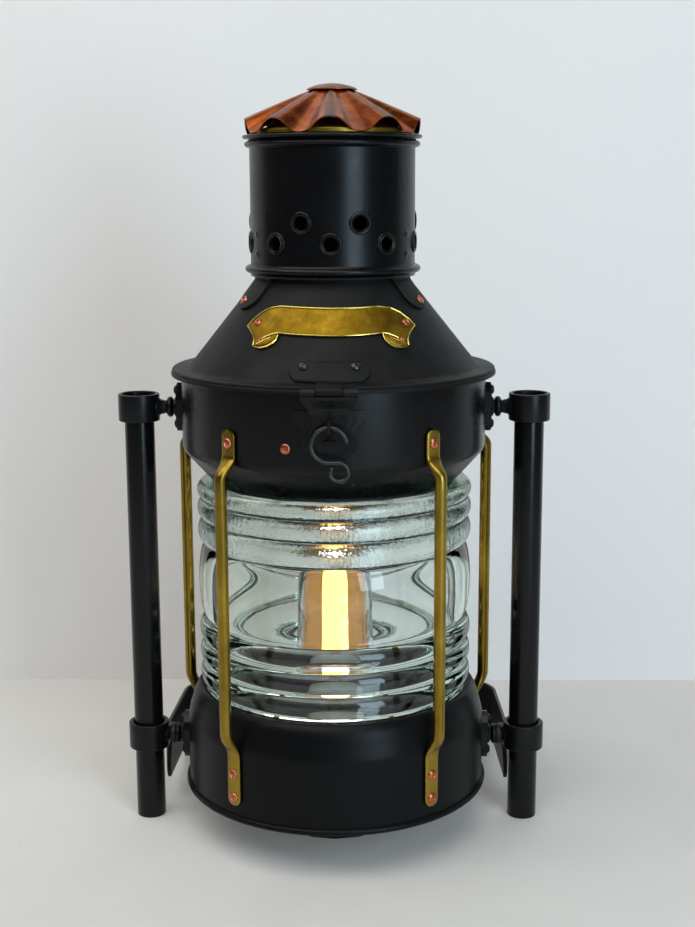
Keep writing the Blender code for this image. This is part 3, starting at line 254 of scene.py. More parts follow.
PAINT = black_paint("satin_black", (0.0013, 0.0014, 0.0018), (0.0026, 0.0028, 0.0034), 0.29, specular=0.22)
BASE_PAINT = black_paint("base_black", (0.0026, 0.0027, 0.0029), (0.0048, 0.0050, 0.0054), 0.36,
                         dust=0.012, specular=0.12)
LID_PAINT = black_paint("matt_black", (0.0050, 0.0049, 0.0050), (0.0090, 0.0086, 0.0086), 0.50,
                        grain=0.14, specular=0.13)
TUBE_PAINT = black_paint("tube_black", (0.0026, 0.0026, 0.0028), (0.0044, 0.0044, 0.0046), 0.20,
                         grain=0.04, specular=0.24)
IRON = black_paint("black_iron", (0.0030, 0.0031, 0.0036), (0.0060, 0.0062, 0.0070), 0.28,
                   grain=0.16, specular=0.22)
# Lighter iron for the hook wire and lid screws: the lighter colour is painted sheen for their grey
# highlights, partly worn steel.
WORN_SHEEN_IRON = black_paint("worn_sheen_iron", (0.0080, 0.0082, 0.0090), (0.0240, 0.0245, 0.0270), 0.24,
                        grain=0.12, specular=0.5)
BAIL_PAINT = black_paint("bail_black", (0.0060, 0.0060, 0.0064), (0.0115, 0.0113, 0.0115), 0.40,
                         grain=0.12, specular=0.25)
BRASS = metal("aged_brass", (0.130, 0.078, 0.010), (0.305, 0.198, 0.027), (0.54, 0.38, 0.066), 0.29,
              grain_scale=(1, 1, 0.06), patina=14)
PLATE_BRASS = metal("plate_brass", (0.105, 0.050, 0.004), (0.215, 0.125, 0.008), (0.38, 0.235, 0.018), 0.48,
                    patina=60, bump=0.6)
EDGE_BRASS = metal("edge_brass", (0.46, 0.33, 0.055), (0.70, 0.53, 0.12), (0.86, 0.68, 0.20), 0.24)
LAMP_BRASS = metal("lamp_brass", (0.20, 0.115, 0.018), (0.45, 0.28, 0.050), (0.68, 0.46, 0.11), 0.26)
DISH_BRASS = metal("dish_brass", (0.13, 0.088, 0.009), (0.29, 0.20, 0.022), (0.46, 0.33, 0.045), 0.36)
# The last colour of each copper is the grey-brown painted on crests and upward faces: painted reflection,
# partly tarnish.
COPPER = copper("cap_copper", (0.17, 0.030, 0.008), (0.50, 0.115, 0.022), (0.86, 0.32, 0.080),
                (0.20, 0.135, 0.110), CAP_FLUTES)
KNOB_COPPER = copper("knob_copper", (0.30, 0.075, 0.026), (0.52, 0.155, 0.055), (0.78, 0.31, 0.125),
                     (0.23, 0.155, 0.125), 0)
RIVET_COPPER = metal("rivet_copper", (0.30, 0.075, 0.035), (0.56, 0.185, 0.095), (0.78, 0.33, 0.19), 0.30,
                     patina=160)
STEEL = metal("plain_steel", (0.22, 0.22, 0.23), (0.42, 0.42, 0.43), (0.58, 0.58, 0.60), 0.32)
LENS_GLASS = glass("lens_glass", (0.994, 0.999, 0.992), (0.48, 0.90, 0.64), 9.0, ripple=0.10,
                   frost=(0.220, 0.226, 0.09))
JAR_GLASS = glass("jar_glass", (0.985, 0.99, 0.985), (0.8, 0.9, 0.85), 0.0, ripple=0.05)
AMBER_GLASS = glass("amber_glass", (0.78, 0.60, 0.14), (0.96, 0.74, 0.10), 160.0, roughness=0.02, ripple=0.10,
                    transmission=0.80)
ZINC = metal("zinc_plate", (0.30, 0.30, 0.31), (0.46, 0.46, 0.47), (0.62, 0.62, 0.64), 0.42)


def rubber():
    made = Shade("black_rubber")
    made.colour(made.mix(made.noise(90, 4), (0.012, 0.012, 0.012), (0.030, 0.030, 0.030)))
    made.rough(made.ramp(made.noise(200, 3), (0.3, 0.62), (0.7, 0.80)))
    made.bump(made.noise(600, 2), 0.15, 0.0003)
    return made.material


def porcelain():
    made = Shade("porcelain", coat=0.5)
    made.colour(made.mix(made.noise(60, 4), (0.62, 0.60, 0.54), (0.74, 0.72, 0.66)))
    made.rough(made.ramp(made.noise(90, 3), (0.3, 0.22), (0.7, 0.34)))
    return made.material


def glowing():
    made = Shade("glow")
    warm = made.mix(made.ramp(made.noise(26, 3, 0.5, stretch=(1, 1, 0.2)), (0.3, 0.0), (0.7, 1.0)),
                    (1.0, 0.74, 0.86), (1.0, 0.80, 1.0))
    made.colour(warm)
    made.tree.links.new(warm, made.shader.inputs["Emission Color"])
    made.shader.inputs["Emission Strength"].default_value = 7.0
    return made.material


RUBBER = rubber()
PORCELAIN = porcelain()
GLOW = glowing()


# Shapes

def piece(name, work, material, body, stands_for=(), sharp=38):
    """Turn a mesh into a piece that rides on a body, takes a slot and may stand for CAD nodes."""
    bmesh.ops.remove_doubles(work, verts=work.verts, dist=0.0000005)
    bmesh.ops.recalc_face_normals(work, faces=work.faces)
    if work.calc_volume(signed=True) < 0:
        bmesh.ops.reverse_faces(work, faces=work.faces)
    mesh = bpy.data.meshes.new(name)
    work.to_mesh(mesh)
    work.free()
    mesh.shade_smooth()
    mesh.set_sharp_from_angle(angle=math.radians(sharp))
    mesh.materials.append(material)
    made = bpy.data.objects.new(name, mesh)
    bpy.context.collection.objects.link(made)
    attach(made, body)
    if stands_for:
        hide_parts(*stands_for)
    return made


def arc(centre, radii, start, end, steps=12):
    """Points of an elliptic arc in millimetres, angles in degrees."""
    points = []
    for step in range(steps + 1):
        angle = math.radians(start + (end - start) * step / steps)
        points.append((centre[0] + radii[0] * math.cos(angle), centre[1] + radii[1] * math.sin(angle)))
    return points


def rounded(points, radius, steps=4, closed=True):
    """The same outline with each clear corner turned into a small curve."""
    corners = [Vector(point) for point in points]
    made = []
    for index, corner in enumerate(corners):
        if not closed and index in (0, len(corners) - 1):
            made.append(tuple(corner))
            continue
        before = corners[index - 1] - corner
        after = corners[(index + 1) % len(corners)] - corner
        if before.length < 1e-6 or after.length < 1e-6 or before.angle(after) > math.radians(155):
            made.append(tuple(corner))
            continue
        reach = min(radius, before.length * 0.48, after.length * 0.48)
        start = corner + before.normalized() * reach
        end = corner + after.normalized() * reach
        for step in range(steps + 1):
            share = step / steps
            made.append(tuple(start.lerp(corner, share).lerp(corner.lerp(end, share), share)))
    return made


def shell(path, thickness):
    """Closed outline of a bent sheet: the path, and back along it moved to its left."""
    corners = [Vector(point) for point in path]
    inner = []
    for index, corner in enumerate(corners):
        before = corner - corners[index - 1] if index else corners[1] - corner
        after = corners[index + 1] - corner if index + 1 < len(corners) else before
        left = [Vector((-step.y, step.x)).normalized() for step in (before, after)]
        mitre = (left[0] + left[1]).normalized()
        inner.append(corner + mitre * (thickness / max(mitre.dot(left[0]), 0.5)))
    return [tuple(point) for point in corners + inner[::-1]]


def revolve(work, outline, steps=128, place=None):
    """Turn a closed outline of (radius, height) in millimetres about Z and add it to a mesh."""
    place = place or Matrix.Identity(4)
    rings = []
    for radius, height in outline:
        if radius < 1e-6:
            rings.append([work.verts.new(place @ Vector((0, 0, height * MM)))])
            continue
        ring = []
        for step in range(steps):
            turn = 2 * math.pi * step / steps
            ring.append(work.verts.new(place @ Vector((radius * MM * math.sin(turn),
                                                       -radius * MM * math.cos(turn), height * MM))))
        rings.append(ring)
    for ring, following in zip(rings, rings[1:] + rings[:1]):
        bridge(work, ring, following)
    return work


def bridge(work, ring, following):
    if len(ring) == 1 and len(following) == 1:
        return
    count = max(len(ring), len(following))
    for index in range(count):
        after = (index + 1) % count
        if len(ring) == 1:
            work.faces.new((ring[0], following[after], following[index]))
        elif len(following) == 1:
            work.faces.new((ring[index], ring[after], following[0]))
        else:
            work.faces.new((ring[index], ring[after], following[after], following[index]))


def turned(name, outline, material, body, stands_for=(), steps=128, place=None, sharp=38):
    """A piece turned about Z from its closed outline."""
    return piece(name, revolve(bmesh.new(), outline, steps, place), material, body, stands_for, sharp)


def facing(centre, normal):
    """Place with its Z axis along a normal, centre in millimetres."""
    turn = Z_AXIS.rotation_difference(Vector(normal)).to_matrix().to_4x4()
    return Matrix.Translation(Vector(centre) * MM) @ turn


def sweep(work, stations, closed_ends=True):
    """Join loops of points given station by station."""
    loops = [[work.verts.new(point) for point in loop] for loop in stations]
    for loop, following in zip(loops, loops[1:]):
        bridge(work, loop, following)
    if closed_ends:
        work.faces.new(loops[0])
        work.faces.new(loops[-1])
    return work


def section(centre, half_u, half_v, power=2.0, sides=20):
    """A rounded section: an ellipse at power 2, nearly a box at a high power."""
    points = []
    for step in range(sides):
        angle = 2 * math.pi * (step + 0.5) / sides
        u, v = math.cos(angle), math.sin(angle)
        size = (abs(u) ** power + abs(v) ** power) ** (-1 / power)
        points.append(centre + half_u * (u * size) + half_v * (v * size))
    return points


def wire(work, path, radius, sides=14):
    """A round wire along points in metres, with domed ends."""
    points = [Vector(point) for point in path]
    stations = []
    normal = None
    for index, point in enumerate(points):
        ahead = points[min(index + 1, len(points) - 1)] - points[max(index - 1, 0)]
        ahead.normalize()
        if normal is None:
            normal = ahead.orthogonal().normalized()
        normal = (normal - ahead * normal.dot(ahead)).normalized()
        across = ahead.cross(normal)
        stations.append((point, normal * radius, across * radius, ahead))
    loops = []
    for share in (0.15, 0.5, 0.85):
        point, u, v, ahead = stations[0]
        swell = math.sin(math.acos(1 - share))
        loops.append(section(point - ahead * radius * (1 - share) * 0.9, u * swell, v * swell, 2.0, sides))
    loops += [section(point, u, v, 2.0, sides) for point, u, v, ahead in stations]
    for share in (0.85, 0.5, 0.15):
        point, u, v, ahead = stations[-1]
        swell = math.sin(math.acos(1 - share))
        loops.append(section(point + ahead * radius * (1 - share) * 0.9, u * swell, v * swell, 2.0, sides))
    return sweep(work, loops)


def around(angle):
    """Outward and sideways directions at an angle from the front, in degrees."""
    turn = math.radians(angle)
    return Vector((math.sin(turn), -math.cos(turn), 0)), Vector((math.cos(turn), math.sin(turn), 0))


cone_slope = Vector((CONE_LOW - CONE_HIGH, CONE_RISE)).normalized()


def on_cone(side, slant, lift=0.0, angle=0.0):
    """A point on the cone in metres, from millimetres sideways, up the slope and off it."""
    reach = CONE_LOW - slant * cone_slope.x
    turn = math.radians(angle) + side / reach
    radius = reach + lift * cone_slope.y
    height = BRIM_Z + slant * cone_slope.y + lift * cone_slope.x
    return Vector((radius * math.sin(turn), -radius * math.cos(turn), height)) * MM


def cone_normal(side, slant, angle=0.0):
    reach = CONE_LOW - slant * cone_slope.x
    turn = math.radians(angle) + side / reach
    return Vector((cone_slope.y * math.sin(turn), -cone_slope.y * math.cos(turn), cone_slope.x))


def on_wall(radius, side, height, lift=0.0, angle=0.0):
    turn = math.radians(angle) + side / radius
    return Vector(((radius + lift) * math.sin(turn), -(radius + lift) * math.cos(turn), height)) * MM


def wall_normal(radius, side, angle=0.0):
    turn = math.radians(angle) + side / radius
    return Vector((math.sin(turn), -math.cos(turn), 0))


def apply_cut(made, cutter):
    """Cut one mesh out of another for good, and drop the cutter."""
    step = made.modifiers.new("cut", "BOOLEAN")
    step.operation = "DIFFERENCE"
    step.solver = "EXACT"
    step.object = cutter
    graph = bpy.context.evaluated_depsgraph_get()
    done = bpy.data.meshes.new_from_object(made.evaluated_get(graph))
    made.modifiers.clear()
    old = made.data
    made.data = done
    bpy.data.meshes.remove(old)
    bpy.data.objects.remove(cutter, do_unlink=True)
    made.data.shade_smooth()
    made.data.set_sharp_from_angle(angle=math.radians(38))


def cutter_from(work, name="cutter"):
    bmesh.ops.recalc_face_normals(work, faces=work.faces)
    mesh = bpy.data.meshes.new(name)
    work.to_mesh(mesh)
    work.free()
    made = bpy.data.objects.new(name, mesh)
    bpy.context.collection.objects.link(made)
    return made


def soften(node, width, material, segments=3, angle=32):
    """A CAD node keeps its shape and gets a finish and eased edges."""
    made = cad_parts[node]
    made.data.materials.clear()
    made.data.materials.append(material)
    if width:
        step = made.modifiers.new("ease", "BEVEL")
        step.width = width * MM
        step.segments = segments
        step.limit_method = "ANGLE"
        step.angle_limit = math.radians(angle)
        step.harden_normals = True
    return made


# Camera, as fitted to the photograph

camera_data = bpy.data.cameras.new("camera")
camera_data.lens = 56.2
camera_data.sensor_fit = "AUTO"
camera_data.sensor_width = 36.0
camera = bpy.data.objects.new("camera", camera_data)
bpy.context.collection.objects.link(camera)
yaw, pitch, roll = math.radians(-0.97), math.radians(11.09), math.radians(-0.24)
ahead = Vector((math.sin(yaw) * math.cos(pitch), math.cos(yaw) * math.cos(pitch), -math.sin(pitch)))
right = Vector((math.cos(yaw), -math.sin(yaw), 0))
up = right.cross(ahead)
right_rolled = right * math.cos(roll) + up * math.sin(roll)
up_rolled = up * math.cos(roll) - right * math.sin(roll)
look = Matrix((right_rolled, up_rolled, -ahead)).transposed().to_4x4()
camera.matrix_world = Matrix.Translation((0.0277, -1.0518, 0.4827)) @ look
bpy.context.scene.camera = camera


# Case: base drum, upper drum and lens

base = arc((BASE_RADIUS, 36.0), (2.4, 2.4), 120, 450, 18)
base += [(BASE_RADIUS, BASE_CREASE_Z - 0.6), (BASE_RADIUS - 0.05, BASE_CREASE_Z)]
for turn in range(42, 91, 3):
    angle = math.radians(turn)
    swage = 0.5 * math.exp(-((turn - 55) / 6) ** 2)
    base.append((BASE_NECK + (15.475 - swage) * math.cos(angle), 34.43 + (77.07 - swage) * math.sin(angle)))
base += [(BASE_NECK - SHEET, BASE_TOP_Z), (BASE_NECK - SHEET, 105.0), (86.8, 105.0), (86.8, 105.0 - SHEET),
         (BASE_NECK, 105.0 - SHEET)]
base += arc((BASE_NECK, 33.23), (13.86, 77.07), 90, 42, 12)
turned("base_case", base, BASE_PAINT, "case", ["base_drum"], 160)

upper = rounded([(85.0, 268.7), (90.5, 268.7), (DRUM_RADIUS, 291.8), (DRUM_RADIUS, 348.7)], 3.0, 5, False)
turned("upper_case", shell(upper, SHEET), PAINT, "case", ["upper_drum"], 160)

RIB_HEIGHTS = (16.67, 16.83, 17.99, 57.0, 18.15, 15.18, 12.05)
RIB_PLACE, RIB_BULGE, BARREL_LIMIT = 95.5, 5.9, 50
low = 112.7
lens = [(LENS_BORE, 145.0), (LENS_BORE, LENS_LOW_Z), (97.9, LENS_LOW_Z), (97.9, low - 0.5)]
for number, height in enumerate(RIB_HEIGHTS):
    steps = 40 if height > BARREL_LIMIT else 20
    rib = arc((RIB_PLACE, low + height / 2), (RIB_BULGE, height / 2), -90, 90, steps)
    lens += rib[1:] if number else rib
    low += height
BORE_SWELL, SWELL_HIGH_Z, SWELL_LENGTH = 3.4, 240.0, 95.0
lens += [(LENS_BORE, low), (LENS_BORE, SWELL_HIGH_Z)]
for step in range(1, 30):
    share = step / 30
    swell = BORE_SWELL * math.sin(math.pi * share) ** 1.5
    lens.append((LENS_BORE + swell, SWELL_HIGH_Z - SWELL_LENGTH * share))
turned("lens_body", lens, LENS_GLASS, "case", ["lens"], 192, sharp=50)

for node in ("lens_seal_lower", "lens_seal_upper", "cable_gland"):
    soften(node, 0.3, RUBBER)
soften("base_plate", 0, ZINC)
soften("base_foot", 0.8, IRON)


# Guard rods, tabs and rivets

def ease(share):
    return share * share * (3 - 2 * share)


LOW_TAB_REACH, HIGH_TAB_REACH = BASE_RADIUS + 1.5, DRUM_RADIUS + 1.5
LOW_BEND, HIGH_BEND = (83.0, 20.0, 14), (283.8, 15.0, 12)
rod_path = [(LOW_TAB_REACH, height, 1) for height in (50.6, 54, 62, 74, 81)]
for step in range(LOW_BEND[2] + 1):
    share = step / LOW_BEND[2]
    reach = LOW_TAB_REACH + (ROD_CIRCLE - LOW_TAB_REACH) * ease(share)
    rod_path.append((reach, LOW_BEND[0] + LOW_BEND[1] * share, 1 - ease(share)))
rod_path += [(ROD_CIRCLE, height, 0) for height in (110, 150, 200, 250, 275)]
for step in range(HIGH_BEND[2] + 1):
    share = step / HIGH_BEND[2]
    reach = ROD_CIRCLE - (ROD_CIRCLE - HIGH_TAB_REACH) * ease(share)
    rod_path.append((reach, HIGH_BEND[0] + HIGH_BEND[1] * share, ease(share)))
rod_path += [(HIGH_TAB_REACH, height, 1) for height in (301.0, 306.0, 311.0, 313.0)]
rivets_case = bmesh.new()


def rivet(work, centre, normal, radius=3.8, proud=1.5, hole=1.35):
    """A rivet's head with the dimple of its hollow end, added to a mesh."""
    outline = [(0, proud - 1.0), (hole * 0.8, proud - 1.0), (hole, proud - 0.35), (hole + 0.45, proud),
               (radius * 0.72, proud - 0.05), (radius * 0.93, proud * 0.62), (radius, proud * 0.15),
               (radius, -0.4), (0, -0.4)]
    revolve(work, outline, 24, facing(centre, normal))


for number, angle in enumerate(ROD_ANGLES, 1):
    out, side = around(angle)
    stations = []
    centres = [out * (reach * MM) + Z_AXIS * (height * MM) for reach, height, flat in rod_path]
    for index, (reach, height, flat) in enumerate(rod_path):
        ahead = centres[min(index + 1, len(centres) - 1)] - centres[max(index - 1, 0)]
        across = side.cross(ahead).normalized()
        width = ROD_RADIUS + (ROD_FLAT_HALF - ROD_RADIUS) * flat
        depth = ROD_RADIUS + (ROD_FLAT_DEPTH - ROD_RADIUS) * flat
        stations.append(section(centres[index], side * (width * MM), across * (depth * MM),
                                2 + 2.4 * flat, 24))
    tips = []
    for place, sign in ((0, -1), (-1, 1)):
        reach, height, flat = rod_path[place]
        for turn in (40, 65, 82):
            bend = math.radians(turn)
            depth = ROD_FLAT_DEPTH - (0.3 if turn > 80 else 0)
            middle = out * (reach * MM) + Z_AXIS * ((height + sign * ROD_RADIUS * math.sin(bend)) * MM)
            tips.append(section(middle, side * (ROD_FLAT_HALF * math.cos(bend) * MM), out * (depth * MM),
                                4.4, 24))
    stations = tips[:3][::-1] + stations + tips[3:]
    piece("guard_rod_%d_round" % number, sweep(bmesh.new(), stations), BRASS, "case",
          ["guard_rod_%d" % number])
    for height in ROD_LOW_Z:
        rivet(rivets_case, out * (LOW_TAB_REACH + ROD_FLAT_DEPTH) + Z_AXIS * height, out)
    rivet(rivets_case, out * (HIGH_TAB_REACH + ROD_FLAT_DEPTH) + Z_AXIS * ROD_HIGH_Z, out)
KEEPER_RIVET = (-30.0, 307.3)
rivet(rivets_case, on_wall(DRUM_RADIUS, *KEEPER_RIVET) / MM, wall_normal(DRUM_RADIUS, KEEPER_RIVET[0]))
piece("case_rivets", rivets_case, RIVET_COPPER, "case")


# Guide tubes, eye bolts, plates and nuts

def eye_bolt(level, hand, sign, height, wall):
    """The band round the tube, its collared neck and the shank through the case."""
    work = bmesh.new()
    if level == "upper":
        outline = [(11.2, -EYE_BAND_HALF), (EYE_BAND_RADIUS, -EYE_BAND_HALF),
                   (EYE_BAND_RADIUS, EYE_BAND_HALF),
                   (12.4, EYE_BAND_HALF), (12.4, 4), (11.2, 4)]
    else:
        outline = [(11.9, -EYE_BAND_HALF), (EYE_BAND_RADIUS, -EYE_BAND_HALF),
                   (EYE_BAND_RADIUS, EYE_BAND_HALF),
                   (11.9, EYE_BAND_HALF)]
    revolve(work, rounded(outline, 1.0), 64, Matrix.Translation((sign * TUBE_PLACE * MM, 0, height * MM)))
    face = wall + 4.3
    shank = [(0, 101.5), (4.0, 101.5), (4.5, 102.2), (4.5, face), (6.9, face), (7.2, face + 0.8),
             (6.9, face + 1.6), (5.0, face + 2.1)]
    shank += arc((4.2, face + 5.0), (3.4, 2.6), -75, 75, 10)
    shank += [(4.7, face + 8.3), (5.0, face + 9.4), (5.6, TUBE_PLACE - 16.2), (7.2, TUBE_PLACE - 14.6),
              (7.6, TUBE_PLACE - 13.4), (0, TUBE_PLACE - 13.2)]
    turn = Matrix.Translation((0, 0, height * MM)) @ Matrix.Rotation(math.radians(90 * sign), 4, "Y")
    revolve(work, shank, 48, turn)
    piece("eye_%s_%s" % (level, hand), work, IRON, "case", ["eye_bolt_%s_%s" % (level, hand)])


def plate_bolts(level, hand, sign, height, wall):
    """The two domed bolt heads on an eye bolt's plate."""
    bolts = bmesh.new()
    for rise in (-12.5, 12.5):
        head = [(0, 2.6), (1.6, 2.5), (2.9, 1.9), (3.5, 0.9), (3.5, -0.5), (0, -0.5)]
        revolve(bolts, head, 20, facing((sign * (wall + 4.0), 0, height + rise), (sign, 0, 0)))
    piece("plate_bolts_%s_%s" % (level, hand), bolts, IRON, "case")


for hand, sign in (("left", -1), ("right", 1)):
    outline = rounded([(9.3, 0.05), (TUBE_RADIUS, 0.05), (TUBE_RADIUS, TUBE_TOP_Z), (9.3, TUBE_TOP_Z)], 0.5)
    turned("tube_%s" % hand, outline, TUBE_PAINT, "case", ["guide_tube_" + hand], 64,
           Matrix.Translation((sign * TUBE_PLACE * MM, 0, 0)))
    for level, height, wall in (("upper", UPPER_EYE_Z, DRUM_RADIUS), ("lower", LOWER_EYE_Z, BASE_RADIUS)):
        eye_bolt(level, hand, sign, height, wall)
        soften("eye_plate_%s_%s" % (level, hand), 0.7, IRON)
        soften("eye_nut_%s_%s" % (level, hand), 0.4, STEEL)
        plate_bolts(level, hand, sign, height, wall)


# Bail

BAIL_ARM, BAIL_FLARE, BAIL_CORNER, BAIL_REACH = 124.4, 9.1, 50.0, 190.0
BAIL_EYE, STRAP_HALF, STRAP_HIGH, STRAP_LOW = 8.0, 1.8, -1.0, -46.0
bail_work = bmesh.new()
outer_reach = BAIL_REACH + STRAP_HALF
drop = math.asin(LOWER_EYE_Z / math.hypot(outer_reach, STRAP_LOW)) - math.atan2(-STRAP_LOW, outer_reach)
back = Vector((0, math.cos(drop), -math.sin(drop)))
lift = Vector((0, math.sin(drop), math.cos(drop)))
pivot = Z_AXIS * (LOWER_EYE_Z * MM)


def eased(share):
    return ease(min(1.0, max(0.0, share)))


half_path = []
for turn in (86, 76, 62, 46, 30, 15):
    bend = math.radians(turn)
    half_path.append((Vector((BAIL_ARM, -BAIL_EYE * math.sin(bend))), X_AXIS.xy, 0.0,
                      BAIL_EYE * math.cos(bend)))
for along in (0, 4, 8, 11, 14, 17, 20, 22, 24, 26, 28, 30, 32, 34, 36, 39, 43, 60, 90, 120):
    out = eased((along - 11) / 22)
    full = eased((along - 20) / 16)
    neck = eased(along / 12)
    top = (BAIL_EYE * (1 - neck) + 2.5 * neck) * (1 - full) + STRAP_HIGH * full
    low = (-BAIL_EYE * (1 - neck) - 4.5 * neck) * (1 - full) + STRAP_LOW * full
    half_path.append((Vector((BAIL_ARM + BAIL_FLARE * out, along)), X_AXIS.xy, (top + low) / 2,
                      (top - low) / 2))
corner = Vector((BAIL_ARM + BAIL_FLARE - BAIL_CORNER, BAIL_REACH - BAIL_CORNER))
for step in range(19):
    bend = math.pi / 2 * step / 18
    outward = Vector((math.cos(bend), math.sin(bend)))
    half_path.append((corner + outward * BAIL_CORNER, outward, (STRAP_HIGH + STRAP_LOW) / 2,
                      (STRAP_HIGH - STRAP_LOW) / 2))
whole = half_path + [(Vector((-p.x, p.y)), Vector((-o.x, o.y)), m, h) for p, o, m, h in half_path[::-1]]
stations = []
for place, outward, middle, half in whole:
    centre = pivot + X_AXIS * (place.x * MM) + back * (place.y * MM) + lift * (middle * MM)
    thick = (X_AXIS * outward.x + back * outward.y) * (STRAP_HALF * MM)
    stations.append(section(centre, thick, lift * (half * MM), 7.0, 28))
bail = piece("bail_strap", sweep(bail_work, stations), BAIL_PAINT, "bail", ["bail"])
hole = bmesh.new()
revolve(hole, [(0, -150), (5.7, -150), (5.7, 150), (0, 150)], 40,
        Matrix.Translation(pivot) @ Matrix.Rotation(math.pi / 2, 4, "Y"))
apply_cut(bail, cutter_from(hole))


# Lid: cone, chimney, straps

cone = [(117.9, 345.35), (118.0, 346.0), (118.0, 347.0), (117.6, 347.7), (117.0, 348.0), (117.2, 348.5),
        (117.3, 349.2)]
cone += arc((115.6, 348.7), (1.7, 1.5), 20, 90, 6)
cone += [(107.5, 350.2), (106.2, 350.35), (105.0, 351.0), (104.0, 352.1)]
cone += [(55.6, 412.6), (54.9, 413.8), (54.5, 415.5), (54.5, 422.1)]
turned("cone", shell(cone, SHEET), LID_PAINT, "lid", ["lid_cone"], 160)

stack = [(CHIMNEY_RADIUS, 415.5), (59.3, 416.8)]
stack += arc((CHIMNEY_RADIUS, 420.4), (4.1, 2.9), -70, 80, 14)
stack += [(59.15, 424.0), (CHIMNEY_RADIUS, 425.0), (CHIMNEY_RADIUS, 504.6)]
stack += arc((CHIMNEY_RADIUS, 507.6), (3.5, 2.4), -80, 75, 12)
stack += [(59.5, 510.6), (60.2, 511.6)]
stack += arc((62.4, 512.7), (1.5, 1.3), -100, 90, 8)
stack += [(CHIMNEY_RADIUS - SHEET, height) for height in (514.0, 460.0, 415.5)]
chimney = turned("chimney_skin", stack, PAINT, "lid", ["chimney"], 128)
vents = [(angle, 439.5) for angle in range(0, 360, 40)]
vents += [(angle, 453.8) for angle in (20, 100, 140, 220, 260, 340)]
holes = bmesh.new()
rims = bmesh.new()
for angle, height in vents:
    out, side = around(angle)
    revolve(holes, [(0, -4), (5.3, -4), (5.3, 4), (0, 4)], 28,
            facing(out * CHIMNEY_RADIUS + Z_AXIS * height, out))
    ring = [(5.0, -1.6), (5.0, 0.6), (5.15, 1.0), (5.5, 1.15), (5.7, 0.75), (6.0, 0.55), (6.4, 0.95),
            (6.9, 1.05),
            (7.5, 0.85), (7.9, 0.3), (8.0, -0.5), (6.6, -1.6)]
    revolve(rims, ring, 40, facing(out * CHIMNEY_RADIUS + Z_AXIS * height, out))
apply_cut(chimney, cutter_from(holes))
piece("vent_rims", rims, TUBE_PAINT, "lid")

small = bmesh.new()
for angle in (62, 180, 298):
    out, side = around(angle)
    for height in (432.0, 445.5):
        revolve(small, [(0, 1.3), (1.5, 1.15), (2.6, 0.4), (2.8, -0.4), (0, -0.4)], 16,
                facing(out * CHIMNEY_RADIUS + Z_AXIS * height, out))
for side_mm, slant in ((-17.6, 12.6), (17.0, 12.6)):
    head = [(0, 0.9), (0.6, 0.9), (0.7, 1.9), (1.8, 1.75), (2.9, 1.0), (3.1, 0.2), (3.1, -0.3), (0, -0.3)]
    revolve(small, head, 24, facing(on_cone(side_mm, slant, 1.8) / MM, cone_normal(side_mm, slant)))
piece("lid_screws", small, WORN_SHEEN_IRON, "lid")

for number in (1, 2, 3):
    soften("chimney_strap_%d" % number, 0.5, LID_PAINT)
rivets_lid = bmesh.new()
for angle in STRAP_ANGLES:
    rivet(rivets_lid, on_cone(0, STRAP_RIVET_SLANT, 1.9, angle) / MM,
          cone_normal(0, STRAP_RIVET_SLANT, angle), 3.5, 1.3)


# Cap

work = bmesh.new()
around_steps, radial_steps, eye = 324, 14, 15.5
layers = []
for lower in (False, True):
    loops = []
    for ring in range(radial_steps + 1):
        share = ring / radial_steps
        radius = eye + (CAP_RADIUS - eye) * share
        loop = []
        for step in range(around_steps):
            turn = 2 * math.pi * step / around_steps
            bend = CAP_FLUTES * turn
            wave = math.cos(bend)
            wave = 5.1 * wave * (1.3 - 0.3 * wave * wave) * share ** 0.9
            local = 1.0 + 0.010 * math.sin(5 * turn + 1.1) + 0.008 * math.sin(2 * turn)
            height = CAP_TOP_Z - CAP_DROP * share ** 1.03 + wave + 0.4 * math.sin(3 * turn + 0.6) * share
            reach = radius * (1 + (local - 1) * share) - (0.5 if lower and ring == radial_steps else 0)
            loop.append(work.verts.new(Vector((reach * math.sin(turn), -reach * math.cos(turn),
                                               height - (0.9 if lower else 0))) * MM))
        loops.append(loop)
    layers.append(loops)
for loops in layers:
    for loop, following in zip(loops, loops[1:]):
        bridge(work, loop, following)
bridge(work, layers[0][-1], layers[1][-1])
work.faces.new(layers[0][0])
work.faces.new(layers[1][0])
piece("fluted_cap", work, COPPER, "lid", ["copper_cap"], sharp=60)
button = [(0, 544.6), (17.3, 544.6), (17.9, 544.9), (18.0, 545.4), (17.4, 545.9), (15.4, 546.8),
          (12.4, 547.8), (8.6, 548.7),
          (4.4, 549.3), (0, 549.5)]
turned("cap_knob", button, KNOB_COPPER, "lid", ["cap_button"], 96)
dish = rounded([(4.4, 525.0), (30, 522.8), (50, 517.2), (56.5, 514.4), (57.5, 514.4), (57.5, 517.6),
                (56.4, 517.6),
                (50, 518.4), (30, 524.0), (4.4, 526.2)], 0.5)
turned("cap_plate", dish, DISH_BRASS, "lid", ["cap_dish"], 96)
soften("cap_spider", 0.3, IRON)
soften("cap_post", 0.2, STEEL)


# Scroll plate: bowed ribbon with a raised border and folded ends

scroll_top = [(-63.1, 42.6), (-58.5, 48.0), (-50.5, 54.5), (-43.0, 58.4), (-35.5, 60.0), (-20.0, 59.5),
              (0.0, 58.9),
              (20.0, 59.4), (33.0, 60.0), (43.0, 58.2), (50.5, 54.3), (58.5, 48.0), (63.4, 42.6)]
scroll_bottom = [(-56.0, 27.5), (-50.0, 29.8), (-43.0, 33.6), (-38.5, 36.5), (-36.3, 38.6), (-20.0, 37.6),
                 (0.0, 37.0),
                 (20.0, 37.5), (36.3, 38.7), (38.5, 36.6), (43.0, 33.6), (50.0, 29.8), (56.0, 27.5)]


